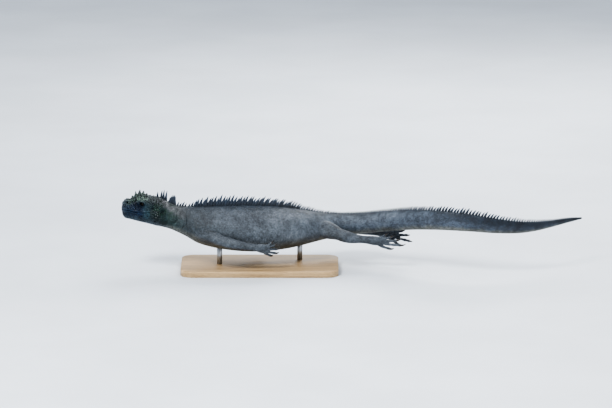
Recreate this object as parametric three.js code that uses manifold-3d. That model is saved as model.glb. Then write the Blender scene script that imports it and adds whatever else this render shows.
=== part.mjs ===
// A marine iguana swimming at the surface, life size, on a plain display stand.
// Millimetres, +Z up. The head points to -X and the tail to +X. The origin is the middle of the
// underside of the stand's base. Body coordinates are a station along the spine from the snout,
// a distance out from the midline and a height above the water that the animal swims in.
import * as THREE from "three";
import { mergeVertices } from "three/addons/utils/BufferGeometryUtils.js";
import Module from "manifold-3d";

const wasm = await Module();
wasm.setup();

// Driving sizes
const SNOUT_TO_VENT = 420;
const TAIL_LENGTH = 540;
const TOTAL_LENGTH = SNOUT_TO_VENT + TAIL_LENGTH;
const GAP = 0.3;

// The stand: a flat base and two short rods
const BASE_LENGTH = 300;
const BASE_WIDTH = 150;
const BASE_THICKNESS = 12;
const BASE_CORNER = 24;
const BASE_CORNER_STEPS = 8;
const ROD_RADIUS = 5;
const ROD_SIDES = 20;
const ROD_STATIONS = [185, 345];
const ROD_OVERLAP = 14;
const BELLY_CLEARANCE = 26;
const BELLY_DEPTH = 71;
const WATER_LEVEL = BASE_THICKNESS + BELLY_CLEARANCE + BELLY_DEPTH;
const BASE_STATION = 262;

// The lateral wave of the swimming stroke: how far the spine turns from the course, in degrees
const WAVE_TURN = 36;
const WAVE_TIP_TURN = 52;
const WAVE_LENGTH = 602;
const WAVE_CROSSING = 418;
const WAVE_START = 188;
const WAVE_FULL = 360;
const WAVE_TIP_START = 740;

// Where one named length ends and the next begins
const NECK_START = 86.4;
const TORSO_START = 124;
const TAIL_STARTS = [SNOUT_TO_VENT, 520, 660, 800];

// How finely each length is drawn: the step between its rings and the sides of a ring
const HEAD_STEP = 4.9;
const HEAD_SIDES = 28;
const NECK_STEP = 6.3;
const NECK_SIDES = 28;
const TORSO_STEP = 13.5;
const TORSO_SIDES = 26;
const TAIL_STEP = 15;
const TAIL_SIDES = [20, 16, 14, 12];

// The plain body that the limbs and the rods are cut to: its stations, its rings and the room
// that it leaves round the body
const CUTTER_START = 100;
const CUTTER_END = 600;
const CUTTER_STEP = 9.5;
const CUTTER_SIDES = 30;
const CUTTER_ROOM = 0.55;

// The body's sections, each: station, half width, top line, belly line, level of the widest part,
// and how square the back and the belly are, where 2 is an ellipse
const SECTIONS = [
  [0, 17.5, 26, -6, 9, 2.9, 2.7],
  [14, 19.5, 27.6, -8.5, 9, 2.8, 2.7],
  [26, 22, 34.5, -11.5, 8, 2.8, 2.6],
  [38, 24.5, 37, -14.5, 6, 2.7, 2.5],
  [52, 27.5, 34.5, -17.5, 2, 2.6, 2.5],
  [66, 29.5, 32.5, -20.5, 0, 2.5, 2.4],
  [78, 29.5, 29, -23.5, -3, 2.3, 2.3],
  [90, 27.5, 22, -27, -6, 2.1, 2.2],
  [104, 27, 16.5, -33, -10, 2, 2.2],
  [122, 31, 14.5, -42, -15, 1.9, 2.2],
  [145, 39, 14.5, -55, -22, 1.8, 2.3],
  [185, 46, 15.5, -65, -28, 1.8, 2.4],
  [245, 51, 16, -71, -32, 1.75, 2.5],
  [305, 49, 10, -70, -34, 1.75, 2.5],
  [355, 42, -1, -65, -35, 1.8, 2.4],
  [395, 33.5, -9, -59, -34, 1.8, 2.3],
  [430, 25, -11, -53, -32, 1.8, 2.2],
  [470, 18.5, -8, -48, -28, 1.75, 2.1],
  [520, 14.5, 0, -39, -20, 1.7, 2],
  [585, 11, 10.5, -28, -9, 1.7, 2],
  [645, 9, 14.5, -22, -4, 1.7, 2],
  [700, 7.5, 11.5, -21.5, -6, 1.7, 2],
  [740, 6.6, 4.5, -24.5, -11, 1.7, 2],
  [800, 5.4, -6.5, -28.5, -18, 1.8, 2],
  [870, 4, -14, -28, -21, 1.9, 2],
  [930, 2.6, -18, -26, -22, 2, 2],
  [960, 1.2, -20.5, -23.5, -22, 2, 2],
];

// The blunt snout closes over this length, and this square, towards a point at this height.
// Its rings lie at these shares of the quarter turn from its tip.
const SNOUT_ROUND = 11.5;
const SNOUT_SQUARE = 3.1;
const SNOUT_HEIGHT = 12.5;
const SNOUT_RINGS = [0.16, 0.34, 0.52, 0.7, 0.86];

// Swellings and hollows of the head, each: station, distance out, height, reach along, reach out,
// reach up, and how far it stands out
const RELIEFS = [
  [36, 20.5, 32.6, 17, 5.5, 3.6, 4.8], // brow ridge
  [37, 24, 24, 8.5, 8, 6, -2.4], // hollow round the eye
  [51, 26, 26, 7, 7, 5, -1.8], // hollow behind the eye
  [23.5, 19, 22, 8, 8, 6, -2], // hollow in front of the eye
  [10, 11.5, 25, 5, 5, 4.6, 2.6], // nostril mound
  [17, 0, 28, 6, 7, 5, -1.6], // dip behind the nostrils
  [68, 30, -6, 13, 12, 11, 5], // jowl
  [59, 28, 15, 9, 8, 6, -3], // temple
  [71, 29, 12, 4, 7, 7, 1.2], // edge of the ear
  [31, 0, 37, 13, 14, 8, 1.8], // forehead
  [82, 28, 20, 9, 8, 7, 1.2], // side of the nape
];

// Eyes and lids. A lid is a mound round the eye with an almond opening.
const EYE_RADIUS = 5.9;
const EYE = { station: 38.4, out: 18.1, height: 24.2 };
const LID_THICKNESS = 1.5;
const LID_REACH = 5.2;
const LID_RISE = 6.2;
const LID_FRONT_CORNER = 0.7;
const LID_REAR_CORNER = -0.5;
const LID_STRETCH = [1.2, 1, 1.02];
const LID_CUT_DEPTH = 12;

// Nostrils, each a mound with a hole, and the hollow of each ear
const NOSTRIL = { station: 10.8, out: 12.4, height: 24.6 };
const NOSTRIL_RADIUS = 2;
const NOSTRIL_MOUND = { root: 4.4, mouth: 3.2 };
const EAR = { station: 78.5, out: 30.6, height: 8, radii: [4.2, 3.6, 5.6] };

// The mouth: its line along the side of the head, the hinge behind it, and the lips. A lip turns
// about a pivot inside the head, by this many degrees to each side.
const MOUTH_LINE = [
  [-4, 12],
  [12, 11],
  [26, 8],
  [38, 7],
  [48, 7.8],
  [55, 9.5],
];
const MOUTH_CUT_STEP = 3;
const MOUTH_CUT_END = 54;
const MOUTH_CUT_WIDTH = 120;
const JAW_HINGE = [
  [70, -8],
  [86, -60],
];
const LIP_RADIUS = 1.5;
const LIP_RISE = 1.5;
const LIP_SUNK = 0.3;
const LIP_STEPS = 15;
const LIP_SIDES = 5;
const LIP_PIVOT = 27;
const LIP_TURN = 134;
const LIP_SEARCH = 60;

// The crown: rows of pyramid scales, tallest at its peak
const CROWN_START = 14;
const CROWN_ROWS = 8;
const CROWN_STEP = 6.4;
const CROWN_ARC = 1.25;
const CROWN_PEAK = 31.5;
const CROWN_PEAK_REACH = 12.5;
const CROWN_LOW = 2.6;
const CROWN_TALL = 8.2;
const SCALE_SUNK = 1.6;

// The shield scales of a jowl, each: station, angle round the head and radius
const JOWL_SCALES = [
  [63, -0.1, 3.4],
  [71, -0.02, 3.6],
  [67, -0.38, 3.2],
  [75, -0.34, 3],
  [60, -0.46, 2.6],
];
const JOWL_SCALE_HEIGHT = 2.2;

// The crest: length of its spines and how far they lean back from upright, along the spine
const CREST_LENGTH = [
  [122, 6],
  [130, 9],
  [138, 14.5],
  [152, 16.5],
  [166, 19.5],
  [200, 20.5],
  [245, 18.5],
  [285, 17.5],
  [325, 14.5],
  [365, 8.5],
  [405, 6.5],
  [450, 6],
  [520, 8],
  [600, 10],
  [650, 11.5],
  [690, 12],
  [740, 10],
  [800, 7.5],
  [870, 5],
  [950, 2],
];
const CREST_LEAN = [
  [120, 4],
  [200, 8],
  [240, 17],
  [290, 28],
  [400, 30],
  [520, 22],
  [700, 20],
  [950, 42],
];
const CREST_STEP = 7.4;
const TAIL_CREST_STEP = 11;

// The tall spines of the nape, each: station, length and lean
const NAPE_SPINES = [
  [68, 11.5, -9],
  [74.8, 16, -2],
  [79, 18.7, -2],
  [83.4, 20, 0],
  [89.2, 6, -8],
  [91, 12, -6],
  [92.9, 14.5, -4],
  [95, 17.5, -4],
  [97.2, 19, -3],
  [99, 19.5, -3],
  [100.6, 17.5, -3],
  [105.5, 8.5, 8],
  [110, 7.5, 12],
  [114.5, 10.5, 16],
  [119.3, 7.5, 18],
];
const NAPE_ROOT = 4.6;
const NAPE_THICKNESS = 2.4;

// A spine: how deep its root is sunk, where its waist is and how wide there, and its tip's hook
const SPINE_SUNK = 2.4;
const SPINE_WAIST = 0.52;
const SPINE_WAIST_WIDTH = 0.66;
const SPINE_HOOK = 9;

// A repeatable random number from 0 to 1
function randomFrom(seed) {
  let state = seed;
  return () => {
    state = (state * 1664525 + 1013904223) % 4294967296;
    return state / 4294967296;
  };
}

const UPWARDS = new THREE.Vector3(0, 0, 1);
const radians = THREE.MathUtils.degToRad;
const ramp = (value, low, high) => THREE.MathUtils.smoothstep(value, low, high);

// The value of column k of a table at a station, on a smooth curve through its rows
function along(table, station, k = 1) {
  const last = table.length - 1;
  let i = 0;
  while (i < last - 1 && table[i + 1][0] < station) i += 1;
  const slope = (j) => {
    const a = table[Math.max(j - 1, 0)];
    const b = table[Math.min(j + 1, last)];
    return (b[k] - a[k]) / (b[0] - a[0]);
  };
  const span = table[i + 1][0] - table[i][0];
  const t = THREE.MathUtils.clamp((station - table[i][0]) / span, 0, 1);
  const ease = t * t * (3 - 2 * t);
  const bend = (t - 1) * t;
  const pull = slope(i) * (t - 1) + slope(i + 1) * t;
  return table[i][k] + (table[i + 1][k] - table[i][k]) * ease + span * bend * pull;
}

// The course of the spine seen from above
function turnAt(station) {
  const steady = WAVE_TURN * ramp(station, WAVE_START, WAVE_FULL);
  const tip = (WAVE_TIP_TURN - WAVE_TURN) * ramp(station, WAVE_TIP_START, TOTAL_LENGTH);
  const phase = (2 * Math.PI * (WAVE_CROSSING - station)) / WAVE_LENGTH;
  return radians(steady + tip) * Math.sin(phase);
}

function traceSpine() {
  const places = [new THREE.Vector2(0, 0)];
  for (let station = 0; station < TOTAL_LENGTH + 20; station += 1) {
    const turn = turnAt(station + 0.5);
    const last = places[places.length - 1];
    places.push(new THREE.Vector2(last.x + Math.cos(turn), last.y + Math.sin(turn)));
  }
  const middle = places[BASE_STATION].clone();
  return places.map((p) => p.sub(middle));
}

const SPINE = traceSpine();

function spineAt(station) {
  if (station <= 0) return new THREE.Vector2(SPINE[0].x + station, SPINE[0].y);
  const i = Math.min(Math.floor(station), SPINE.length - 2);
  return SPINE[i].clone().lerp(SPINE[i + 1], station - i);
}

// Body coordinates to the model's own frame. out is positive on the animal's right, which is +Y.
function place(station, out, height) {
  const p = spineAt(station);
  const turn = station <= 0 ? 0 : turnAt(station);
  const x = p.x - Math.sin(turn) * out;
  const y = p.y + Math.cos(turn) * out;
  return new THREE.Vector3(x, y, height + WATER_LEVEL);
}

function sectionAt(station) {
  const value = (k) => along(SECTIONS, station, k);
  return {
    half: value(1),
    top: value(2),
    belly: value(3),
    widest: value(4),
    roof: value(5),
    keel: value(6),
  };
}

const signedPower = (value, power) => Math.sign(value) * Math.abs(value) ** power;

// How far the reliefs stand out at a point of the head
function reliefAt(station, out, height) {
  let sum = 0;
  for (const [s, o, h, reachAlong, reachOut, reachUp, stand] of RELIEFS) {
    const a = (station - s) / reachAlong;
    const b = (Math.abs(out) - o) / reachOut;
    const c = (height - h) / reachUp;
    sum += stand * Math.exp(-(a * a + b * b + c * c));
  }
  return sum;
}

// A point of the body's surface. shrink is 1, and less where the snout rounds off.
function surfaceAt(station, angle, shrink = 1, swell = 0) {
  const section = sectionAt(station);
  const c = Math.cos(angle);
  const s = Math.sin(angle);
  const square = s > 0 ? section.roof : section.keel;
  const reach = (s > 0 ? section.top : section.belly) - section.widest;
  const centre = (section.top + section.belly) / 2;
  const full = section.widest + reach * Math.abs(signedPower(s, 2 / square));
  const out = section.half * signedPower(c, 2 / square) * shrink;
  const height = shrink < 1 ? SNOUT_HEIGHT + (full - SNOUT_HEIGHT) * shrink : full;
  const relief = station < NECK_START + 18 ? reliefAt(station, out, height) : 0;
  const away = new THREE.Vector2(out, height - centre).normalize();
  const more = relief * shrink + swell;
  return [out + away.x * more, height + away.y * more];
}

// Whether a point lies inside the head's plain section
function insideHead(station, out, height) {
  if (station < 0) return false;
  const section = sectionAt(station);
  const short = Math.max(0, 1 - station / SNOUT_ROUND);
  const shrink = (1 - short ** SNOUT_SQUARE) ** (1 / SNOUT_SQUARE);
  const z = SNOUT_HEIGHT + (height - SNOUT_HEIGHT) / Math.max(shrink, 1e-3);
  const reach = (z > section.widest ? section.top : section.belly) - section.widest;
  const square = z > section.widest ? section.roof : section.keel;
  const a = Math.abs(out / Math.max(shrink, 1e-3) / section.half) ** square;
  const b = Math.abs((z - section.widest) / reach) ** square;
  return a + b < 1;
}

// Geometry to solid and back
function solidOf(geometry) {
  const bare = geometry.index ? geometry.clone() : mergeVertices(geometry, 1e-4);
  bare.deleteAttribute("normal");
  bare.deleteAttribute("uv");
  const merged = mergeVertices(bare, 1e-4);
  const made = new wasm.Manifold(
    new wasm.Mesh({
      numProp: 3,
      vertProperties: new Float32Array(merged.attributes.position.array),
      triVerts: new Uint32Array(merged.index.array),
    }),
  );
  if (made.volume() < 0) throw new Error("a solid is inside out");
  return made;
}

function geometryOf(solid) {
  const mesh = solid.getMesh();
  const places = new Float32Array(mesh.numVert * 3);
  for (let i = 0; i < mesh.numVert; i += 1) {
    const start = i * mesh.numProp;
    places.set(mesh.vertProperties.subarray(start, start + 3), i * 3);
  }
  const geometry = new THREE.BufferGeometry();
  geometry.setAttribute("position", new THREE.BufferAttribute(places, 3));
  geometry.setIndex(new THREE.BufferAttribute(new Uint32Array(mesh.triVerts), 1));
  geometry.computeVertexNormals();
  return geometry;
}

const bySize = (solid) => solid.decompose().sort((a, b) => b.volume() - a.volume());
const largest = (solid) => bySize(solid)[0];
const joined = (solids) => wasm.Manifold.union(solids);

// A closed skin over rings of points, closed at each end by a fan to a point
function loft(rings, start, end) {
  const count = rings[0].length;
  const points = [start, ...rings.flat(), end];
  const faces = [];
  const at = (ring, k) => 1 + ring * count + (k % count);
  for (let k = 0; k < count; k += 1) {
    faces.push(0, at(0, k), at(0, k + 1));
    for (let ring = 0; ring < rings.length - 1; ring += 1) {
      faces.push(at(ring, k), at(ring + 1, k), at(ring, k + 1));
      faces.push(at(ring, k + 1), at(ring + 1, k), at(ring + 1, k + 1));
    }
    faces.push(points.length - 1, at(rings.length - 1, k + 1), at(rings.length - 1, k));
  }
  const geometry = new THREE.BufferGeometry().setFromPoints(points);
  geometry.setIndex(faces);
  if (signedVolume(geometry) < 0) {
    for (let i = 0; i < faces.length; i += 3) {
      [faces[i + 1], faces[i + 2]] = [faces[i + 2], faces[i + 1]];
    }
    geometry.setIndex(faces);
  }
  return solidOf(geometry);
}

function signedVolume(geometry) {
  const place3 = geometry.attributes.position;
  const index = geometry.index.array;
  const corner = (i) => new THREE.Vector3().fromBufferAttribute(place3, index[i]);
  let sum = 0;
  for (let i = 0; i < index.length; i += 3) {
    sum += corner(i).dot(corner(i + 1).cross(corner(i + 2)));
  }
  return sum;
}

const middleOf = (ring) =>
  ring.reduce((sum, p) => sum.add(p), new THREE.Vector3()).divideScalar(ring.length);

// A ball, or an egg with its own radii along X, Y and Z
function ball(centre, radii, across = 13, down = 8) {
  const geometry = new THREE.SphereGeometry(1, across, down);
  geometry.scale(...radii);
  geometry.translate(centre.x, centre.y, centre.z);
  return solidOf(geometry);
}

// A round pin from one point to another
function pin(from, to, radius, sides = 10, endRadius = radius) {
  const length = from.distanceTo(to);
  const geometry = new THREE.CylinderGeometry(endRadius, radius, length, sides);
  const turn = new THREE.Quaternion().setFromUnitVectors(
    new THREE.Vector3(0, 1, 0),
    to.clone().sub(from).normalize(),
  );
  geometry.applyQuaternion(turn);
  const middle = from.clone().add(to).multiplyScalar(0.5);
  geometry.translate(middle.x, middle.y, middle.z);
  return solidOf(geometry);
}

// One length of the body, between two stations
function bodyLength(from, to, step, sides, swell = 0) {
  const count = Math.max(1, Math.round((to - from) / step));
  const rings = [];
  for (let i = 0; i <= count; i += 1) {
    const station = from + ((to - from) * i) / count;
    rings.push(ringAt(station, sides, 1, swell));
  }
  return loft(rings, middleOf(rings[0]), middleOf(rings[count]));
}

function ringAt(station, sides, shrink, swell = 0) {
  const ring = [];
  for (let k = 0; k < sides; k += 1) {
    const [out, height] = surfaceAt(station, (2 * Math.PI * k) / sides, shrink, swell);
    ring.push(place(station, out, height));
  }
  return ring;
}

// A spine or a scale: a base outline sunk under the surface, a waist and a tip
function thorn(base, waist, tip) {
  return loft([base, waist], middleOf(base), tip);
}

// One spine of the crest, a thin blade that leans back and curves to its tip
function crestSpine(station, length, lean, root, thickness) {
  const top = along(SECTIONS, station, 2);
  const tilt = radians(lean);
  const rung = (share, size, extraTilt) => {
    const rise = length * share;
    const s = station + rise * Math.sin(tilt + extraTilt);
    const h = top + rise * Math.cos(tilt + extraTilt);
    const foot = Math.max(share, 0);
    const corner = (ds, out) => place(s + ds * size, out * size, h - ds * size * foot * 0.4);
    return [
      corner(-root / 2, 0),
      corner(0, -thickness / 2),
      corner(root / 2, 0),
      corner(0, thickness / 2),
    ];
  };
  const base = rung(-SPINE_SUNK / length, 1.1, 0);
  const waist = rung(SPINE_WAIST, SPINE_WAIST_WIDTH, 0);
  const tip = middleOf(rung(1, 0.1, radians(SPINE_HOOK)));
  return thorn(base, waist, tip);
}

// The crest of a length of the body
function crestBetween(from, to, step) {
  const random = randomFrom(Math.round(from) + 7);
  const spines = [];
  for (let station = from; station < to; station += step) {
    const length = along(CREST_LENGTH, station) * (0.88 + 0.24 * random());
    const lean = along(CREST_LEAN, station) + 8 * (random() - 0.5);
    const root = Math.min(step * 0.9, 5.4 + length * 0.05);
    spines.push(crestSpine(station, length, lean, root, 1.1 + length * 0.1));
  }
  return spines;
}

function napeSpines(from, to) {
  return NAPE_SPINES.filter(([station]) => station > from && station < to).map(
    ([station, length, lean]) => crestSpine(station, length, lean, NAPE_ROOT, NAPE_THICKNESS),
  );
}

// The head without its scales and openings: the rings of the snout, then those up to the neck
function headBlank() {
  const rings = [];
  for (const share of SNOUT_RINGS) {
    const turn = (share * Math.PI) / 2;
    const shrink = Math.sin(turn) ** (2 / SNOUT_SQUARE);
    const station = SNOUT_ROUND * (1 - Math.cos(turn) ** (2 / SNOUT_SQUARE));
    rings.push(ringAt(station, HEAD_SIDES, shrink));
  }
  const count = Math.round((NECK_START - SNOUT_ROUND) / HEAD_STEP);
  for (let i = 0; i <= count; i += 1) {
    const station = SNOUT_ROUND + ((NECK_START - SNOUT_ROUND) * i) / count;
    rings.push(ringAt(station, HEAD_SIDES, 1));
  }
  return loft(rings, place(0, 0, SNOUT_HEIGHT), middleOf(rings[rings.length - 1]));
}

// A point of the head's surface with its outward direction
function spotOn(station, angle) {
  const point = (s, a) => place(s, ...surfaceAt(s, a));
  const here = point(station, angle);
  const back = point(station + 0.6, angle).sub(here);
  const round = point(station, angle + 0.03).sub(here);
  return { here, normal: round.cross(back).normalize(), back: back.normalize() };
}

// A pyramid-shaped scale standing on the surface
function tubercle(spot, radius, height, sides, lean) {
  const across = new THREE.Vector3().crossVectors(spot.normal, spot.back).normalize();
  const along3 = new THREE.Vector3().crossVectors(across, spot.normal);
  const outline = (rise, size) =>
    Array.from({ length: sides }, (_, k) => {
      const turn = (2 * Math.PI * k) / sides;
      return spot.here
        .clone()
        .addScaledVector(spot.normal, rise)
        .addScaledVector(across, Math.cos(turn) * size)
        .addScaledVector(along3, Math.sin(turn) * size);
    });
  const tip = spot.here
    .clone()
    .addScaledVector(spot.normal, height)
    .addScaledVector(along3, lean * height);
  return thorn(outline(-SCALE_SUNK, radius * 1.05), outline(height * 0.45, radius * 0.7), tip);
}

// The crown of pyramid scales, tallest on the forehead and low towards the nape and the sides
function crown() {
  const random = randomFrom(11);
  const scales = [];
  for (let row = 0; row < CROWN_ROWS; row += 1) {
    const station = CROWN_START + row * CROWN_STEP;
    const across = row < 1 ? 3 : 5;
    for (let k = 0; k < across; k += 1) {
      const share = k / (across - 1) - 0.5;
      const shift = row % 2 ? 0.09 : -0.02;
      const angle = Math.PI / 2 + (share + shift * (share > 0 ? -1 : 1)) * CROWN_ARC;
      const ahead = (station - CROWN_PEAK) / CROWN_PEAK_REACH;
      const near = Math.exp(-(ahead ** 2) - (share * 1.5) ** 2);
      const height = CROWN_LOW + CROWN_TALL * near * (0.82 + 0.36 * random());
      const spot = spotOn(station + 1.6 * (random() - 0.5), angle);
      scales.push(tubercle(spot, 2.7 + near * 0.9, height, 5, 0.12));
    }
  }
  return scales;
}

// The large shield scales of each jowl
function jowlScales(side) {
  return JOWL_SCALES.map(([station, angle, radius]) => {
    const spot = spotOn(station, side > 0 ? angle : Math.PI - angle);
    return tubercle(spot, radius, JOWL_SCALE_HEIGHT, 6, 0.1);
  });
}

// A point on the mouth line, by how far round the snout it lies, from one corner to the other.
// The head's surface is found there by halving the search each time.
function mouthPoint(share, rise) {
  const turn = share * radians(LIP_TURN);
  let low = 0;
  let high = LIP_SEARCH;
  const at = (reach) => {
    const station = LIP_PIVOT - Math.cos(turn) * reach;
    return [station, Math.sin(turn) * reach, along(MOUTH_LINE, station) + rise];
  };
  while (high - low > 1e-6) {
    const middle = (low + high) / 2;
    if (insideHead(...at(middle))) low = middle;
    else high = middle;
  }
  return at(low - LIP_SUNK);
}

// A lip: a soft roll that follows the mouth line from corner to corner
function lip(rise) {
  const points = [];
  for (let i = 0; i <= LIP_STEPS; i += 1) {
    points.push(place(...mouthPoint((2 * i) / LIP_STEPS - 1, rise)));
  }
  const radiusAt = (t) => LIP_RADIUS * (0.45 + 0.55 * Math.sin(Math.PI * t) ** 0.35);
  return tube(points, radiusAt, LIP_SIDES);
}

// The way a line of points runs at one of them
function wayAlong(points, i) {
  const before = points[Math.max(i - 1, 0)];
  const after = points[Math.min(i + 1, points.length - 1)];
  return after.clone().sub(before).normalize();
}

// A tube through points, with its own radius along it. flat squeezes it along its normal.
function tube(points, radiusAt, sides, up = UPWARDS, flat = 1, ways = null) {
  const rings = points.map((point, i) => {
    const ahead = ways ? ways[i] : wayAlong(points, i);
    const across = new THREE.Vector3().crossVectors(up, ahead).normalize();
    const over = new THREE.Vector3().crossVectors(ahead, across);
    const radius = radiusAt(i / (points.length - 1));
    return Array.from({ length: sides }, (_, k) => {
      const turn = (2 * Math.PI * (k + 0.5)) / sides;
      return point
        .clone()
        .addScaledVector(across, Math.cos(turn) * radius)
        .addScaledVector(over, Math.sin(turn) * radius * flat);
    });
  });
  return loft(rings, middleOf(rings[0]), middleOf(rings[rings.length - 1]));
}

// The thin cut that parts the lower jaw: along the mouth line, then down behind its hinge
function mouthCut() {
  const line = [];
  for (let station = MOUTH_LINE[0][0]; station <= MOUTH_CUT_END; station += MOUTH_CUT_STEP) {
    line.push([station, along(MOUTH_LINE, station)]);
  }
  line.push(...JAW_HINGE);
  const shape = new THREE.Shape();
  line.forEach(([s, h], i) => (i ? shape.lineTo(s, h + GAP / 2) : shape.moveTo(s, h + GAP / 2)));
  line.reverse().forEach(([s, h]) => shape.lineTo(s - (h < 0 ? GAP : 0), h - GAP / 2));
  const geometry = new THREE.ExtrudeGeometry(shape, {
    depth: MOUTH_CUT_WIDTH,
    bevelEnabled: false,
  });
  geometry.translate(0, 0, -MOUTH_CUT_WIDTH / 2);
  geometry.rotateX(Math.PI / 2);
  const origin = place(0, 0, 0);
  geometry.translate(origin.x, origin.y, origin.z);
  return solidOf(geometry);
}

// The almond-shaped opening between the lids
function lidOpening(side) {
  const shape = new THREE.Shape();
  shape.moveTo(-LID_REACH, LID_FRONT_CORNER);
  shape.quadraticCurveTo(0, LID_RISE, LID_REACH, LID_REAR_CORNER);
  shape.quadraticCurveTo(0, -LID_RISE, -LID_REACH, LID_FRONT_CORNER);
  const geometry = new THREE.ExtrudeGeometry(shape, {
    depth: LID_CUT_DEPTH,
    bevelEnabled: false,
    curveSegments: 6,
  });
  geometry.rotateX(Math.PI / 2);
  if (side > 0) geometry.translate(0, LID_CUT_DEPTH, 0);
  const centre = place(EYE.station, side * (EYE.out + 2), EYE.height);
  geometry.translate(centre.x, centre.y, centre.z);
  return solidOf(geometry);
}

function eyeCentre(side) {
  return place(EYE.station, side * EYE.out, EYE.height);
}

// The head and the lower jaw, modelled whole and parted by the mouth cut
function makeHead() {
  const added = [headBlank(), ...crown(), ...napeSpines(0, NECK_START - 2)];
  const taken = [mouthCut()];
  added.push(lip(LIP_RISE), lip(-LIP_RISE));
  for (const side of [-1, 1]) {
    const lid = EYE_RADIUS + LID_THICKNESS;
    added.push(ball(eyeCentre(side), LID_STRETCH.map((stretch) => lid * stretch)));
    added.push(...jowlScales(side));
    const mound = place(NOSTRIL.station + 1.4, side * (NOSTRIL.out - 4), NOSTRIL.height - 2.4);
    const mouth = place(NOSTRIL.station - 0.6, side * (NOSTRIL.out + 1.6), NOSTRIL.height + 1);
    added.push(pin(mound, mouth, NOSTRIL_MOUND.root, 10, NOSTRIL_MOUND.mouth));
    const outward = mouth.clone().sub(mound).normalize();
    const opening = mouth.clone().addScaledVector(outward, 3);
    taken.push(pin(mound.clone().addScaledVector(outward, 1), opening, NOSTRIL_RADIUS, 8));
    taken.push(ball(eyeCentre(side), Array(3).fill(EYE_RADIUS + GAP)));
    taken.push(lidOpening(side));
    taken.push(ball(place(EAR.station, side * EAR.out, EAR.height), EAR.radii, 12, 8));
  }
  const whole = joined(added).subtract(joined(taken));
  const [head, jaw] = bySize(whole);
  return { head, jaw };
}

// Limbs. Each is drawn on the right side in body coordinates and mirrored for the left.
const LIMBS = {
  fore: {
    joints: [
      [139, 15, -24],
      [150, 31, -27],
      [170, 48, -33],
      [196, 61, -41],
      [222, 66.5, -47],
      [246, 67, -52],
    ],
    girth: [
      [0, 5],
      [0.08, 12.5],
      [0.2, 14.5],
      [0.38, 12.5],
      [0.52, 10.2],
      [0.58, 10.6],
      [0.72, 9.4],
      [0.9, 7.2],
      [1, 6.8],
    ],
    parting: 0.55,
    names: ["upper_arm", "forearm", "forefoot"],
    palm: { length: 17, width: 10.5, thickness: 5 },
    digits: [
      { length: 13, spread: 34, root: 0.85 },
      { length: 19, spread: 18, root: 0.5 },
      { length: 23, spread: 3, root: 0.05 },
      { length: 23, spread: -11, root: -0.42 },
      { length: 16, spread: -29, root: -0.85 },
    ],
    digitRadius: 3.1,
    claw: 11,
  },
  hind: {
    joints: [
      [366, 10, -33],
      [384, 22, -35],
      [408, 36, -39],
      [436, 45, -45],
      [462, 40, -50],
      [490, 34.5, -52],
    ],
    girth: [
      [0, 6],
      [0.07, 14],
      [0.2, 18],
      [0.36, 16.5],
      [0.54, 12],
      [0.6, 12.2],
      [0.72, 11.4],
      [0.9, 8],
      [1, 7.4],
    ],
    parting: 0.57,
    names: ["thigh", "shank", "hindfoot"],
    palm: { length: 28, width: 10.5, thickness: 5.4 },
    digits: [
      { length: 14, spread: 30, root: 0.85 },
      { length: 24, spread: 17, root: 0.5 },
      { length: 35, spread: 6, root: 0.1 },
      { length: 43, spread: -4, root: -0.35 },
      { length: 24, spread: -24, root: -0.85 },
    ],
    digitRadius: 3.3,
    claw: 12,
  },
};

const CLAW_HOOK = 62;
const CLAW_STEPS = 3;
const LIMB_STEPS = 15;
const LIMB_SIDES = 12;
const LIMB_FLATNESS = 0.94;

function limbCurve(limb, side) {
  return new THREE.CatmullRomCurve3(
    limb.joints.map(([station, out, height]) => place(station, side * out, height)),
    false,
    "centripetal",
  );
}

// A stretch of a limb between two shares of its length
function limbStretch(limb, side, from, to) {
  const curve = limbCurve(limb, side);
  const steps = Math.round(LIMB_STEPS * (to - from));
  const shares = Array.from({ length: steps + 1 }, (_, i) => from + ((to - from) * i) / steps);
  const points = shares.map((share) => curve.getPointAt(share));
  const ways = shares.map((share) => curve.getTangentAt(share));
  const girth = (t) => along(limb.girth, from + (to - from) * t);
  return tube(points, girth, LIMB_SIDES, UPWARDS, LIMB_FLATNESS, ways);
}

// The frame of a foot: where it starts, the way it points, the way it spreads and its back
function footFrame(limb, side) {
  const curve = limbCurve(limb, side);
  const ahead = curve.getTangentAt(1);
  const outward = new THREE.Vector3(-ahead.y, ahead.x, 0).normalize().multiplyScalar(side);
  const back = outward.clone().applyAxisAngle(ahead, radians(-24) * side).normalize();
  const spread = new THREE.Vector3().crossVectors(ahead, back).multiplyScalar(side).normalize();
  return { start: curve.getPointAt(1), ahead, back, spread };
}

// The line of a toe, from inside the palm to the root of its claw, bent a little towards the sole
function toeLine(limb, frame, digit) {
  const turn = radians(digit.spread);
  const way = frame.ahead
    .clone()
    .multiplyScalar(Math.cos(turn))
    .addScaledVector(frame.spread, Math.sin(turn));
  const knuckle = frame.start
    .clone()
    .addScaledVector(frame.ahead, limb.palm.length * 0.86)
    .addScaledVector(frame.spread, digit.root * limb.palm.width * 0.8);
  const points = [];
  const steps = 4;
  for (let i = 0; i <= steps; i += 1) {
    const t = i / steps;
    const reach = -7 + (digit.length + 7) * t;
    const arch = 1.6 * Math.sin(Math.PI * t) - 2.2 * t * t;
    points.push(knuckle.clone().addScaledVector(way, reach).addScaledVector(frame.back, arch));
  }
  return points;
}

function toe(limb, frame, digit) {
  const radius = limb.digitRadius;
  const joints = Math.max(2, Math.round(digit.length / 11));
  const girth = (t) => radius * (1 - 0.2 * t) * (1 + 0.07 * Math.cos(2 * Math.PI * joints * t));
  return tube(toeLine(limb, frame, digit), girth, 6, frame.back, 0.92);
}

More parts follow.
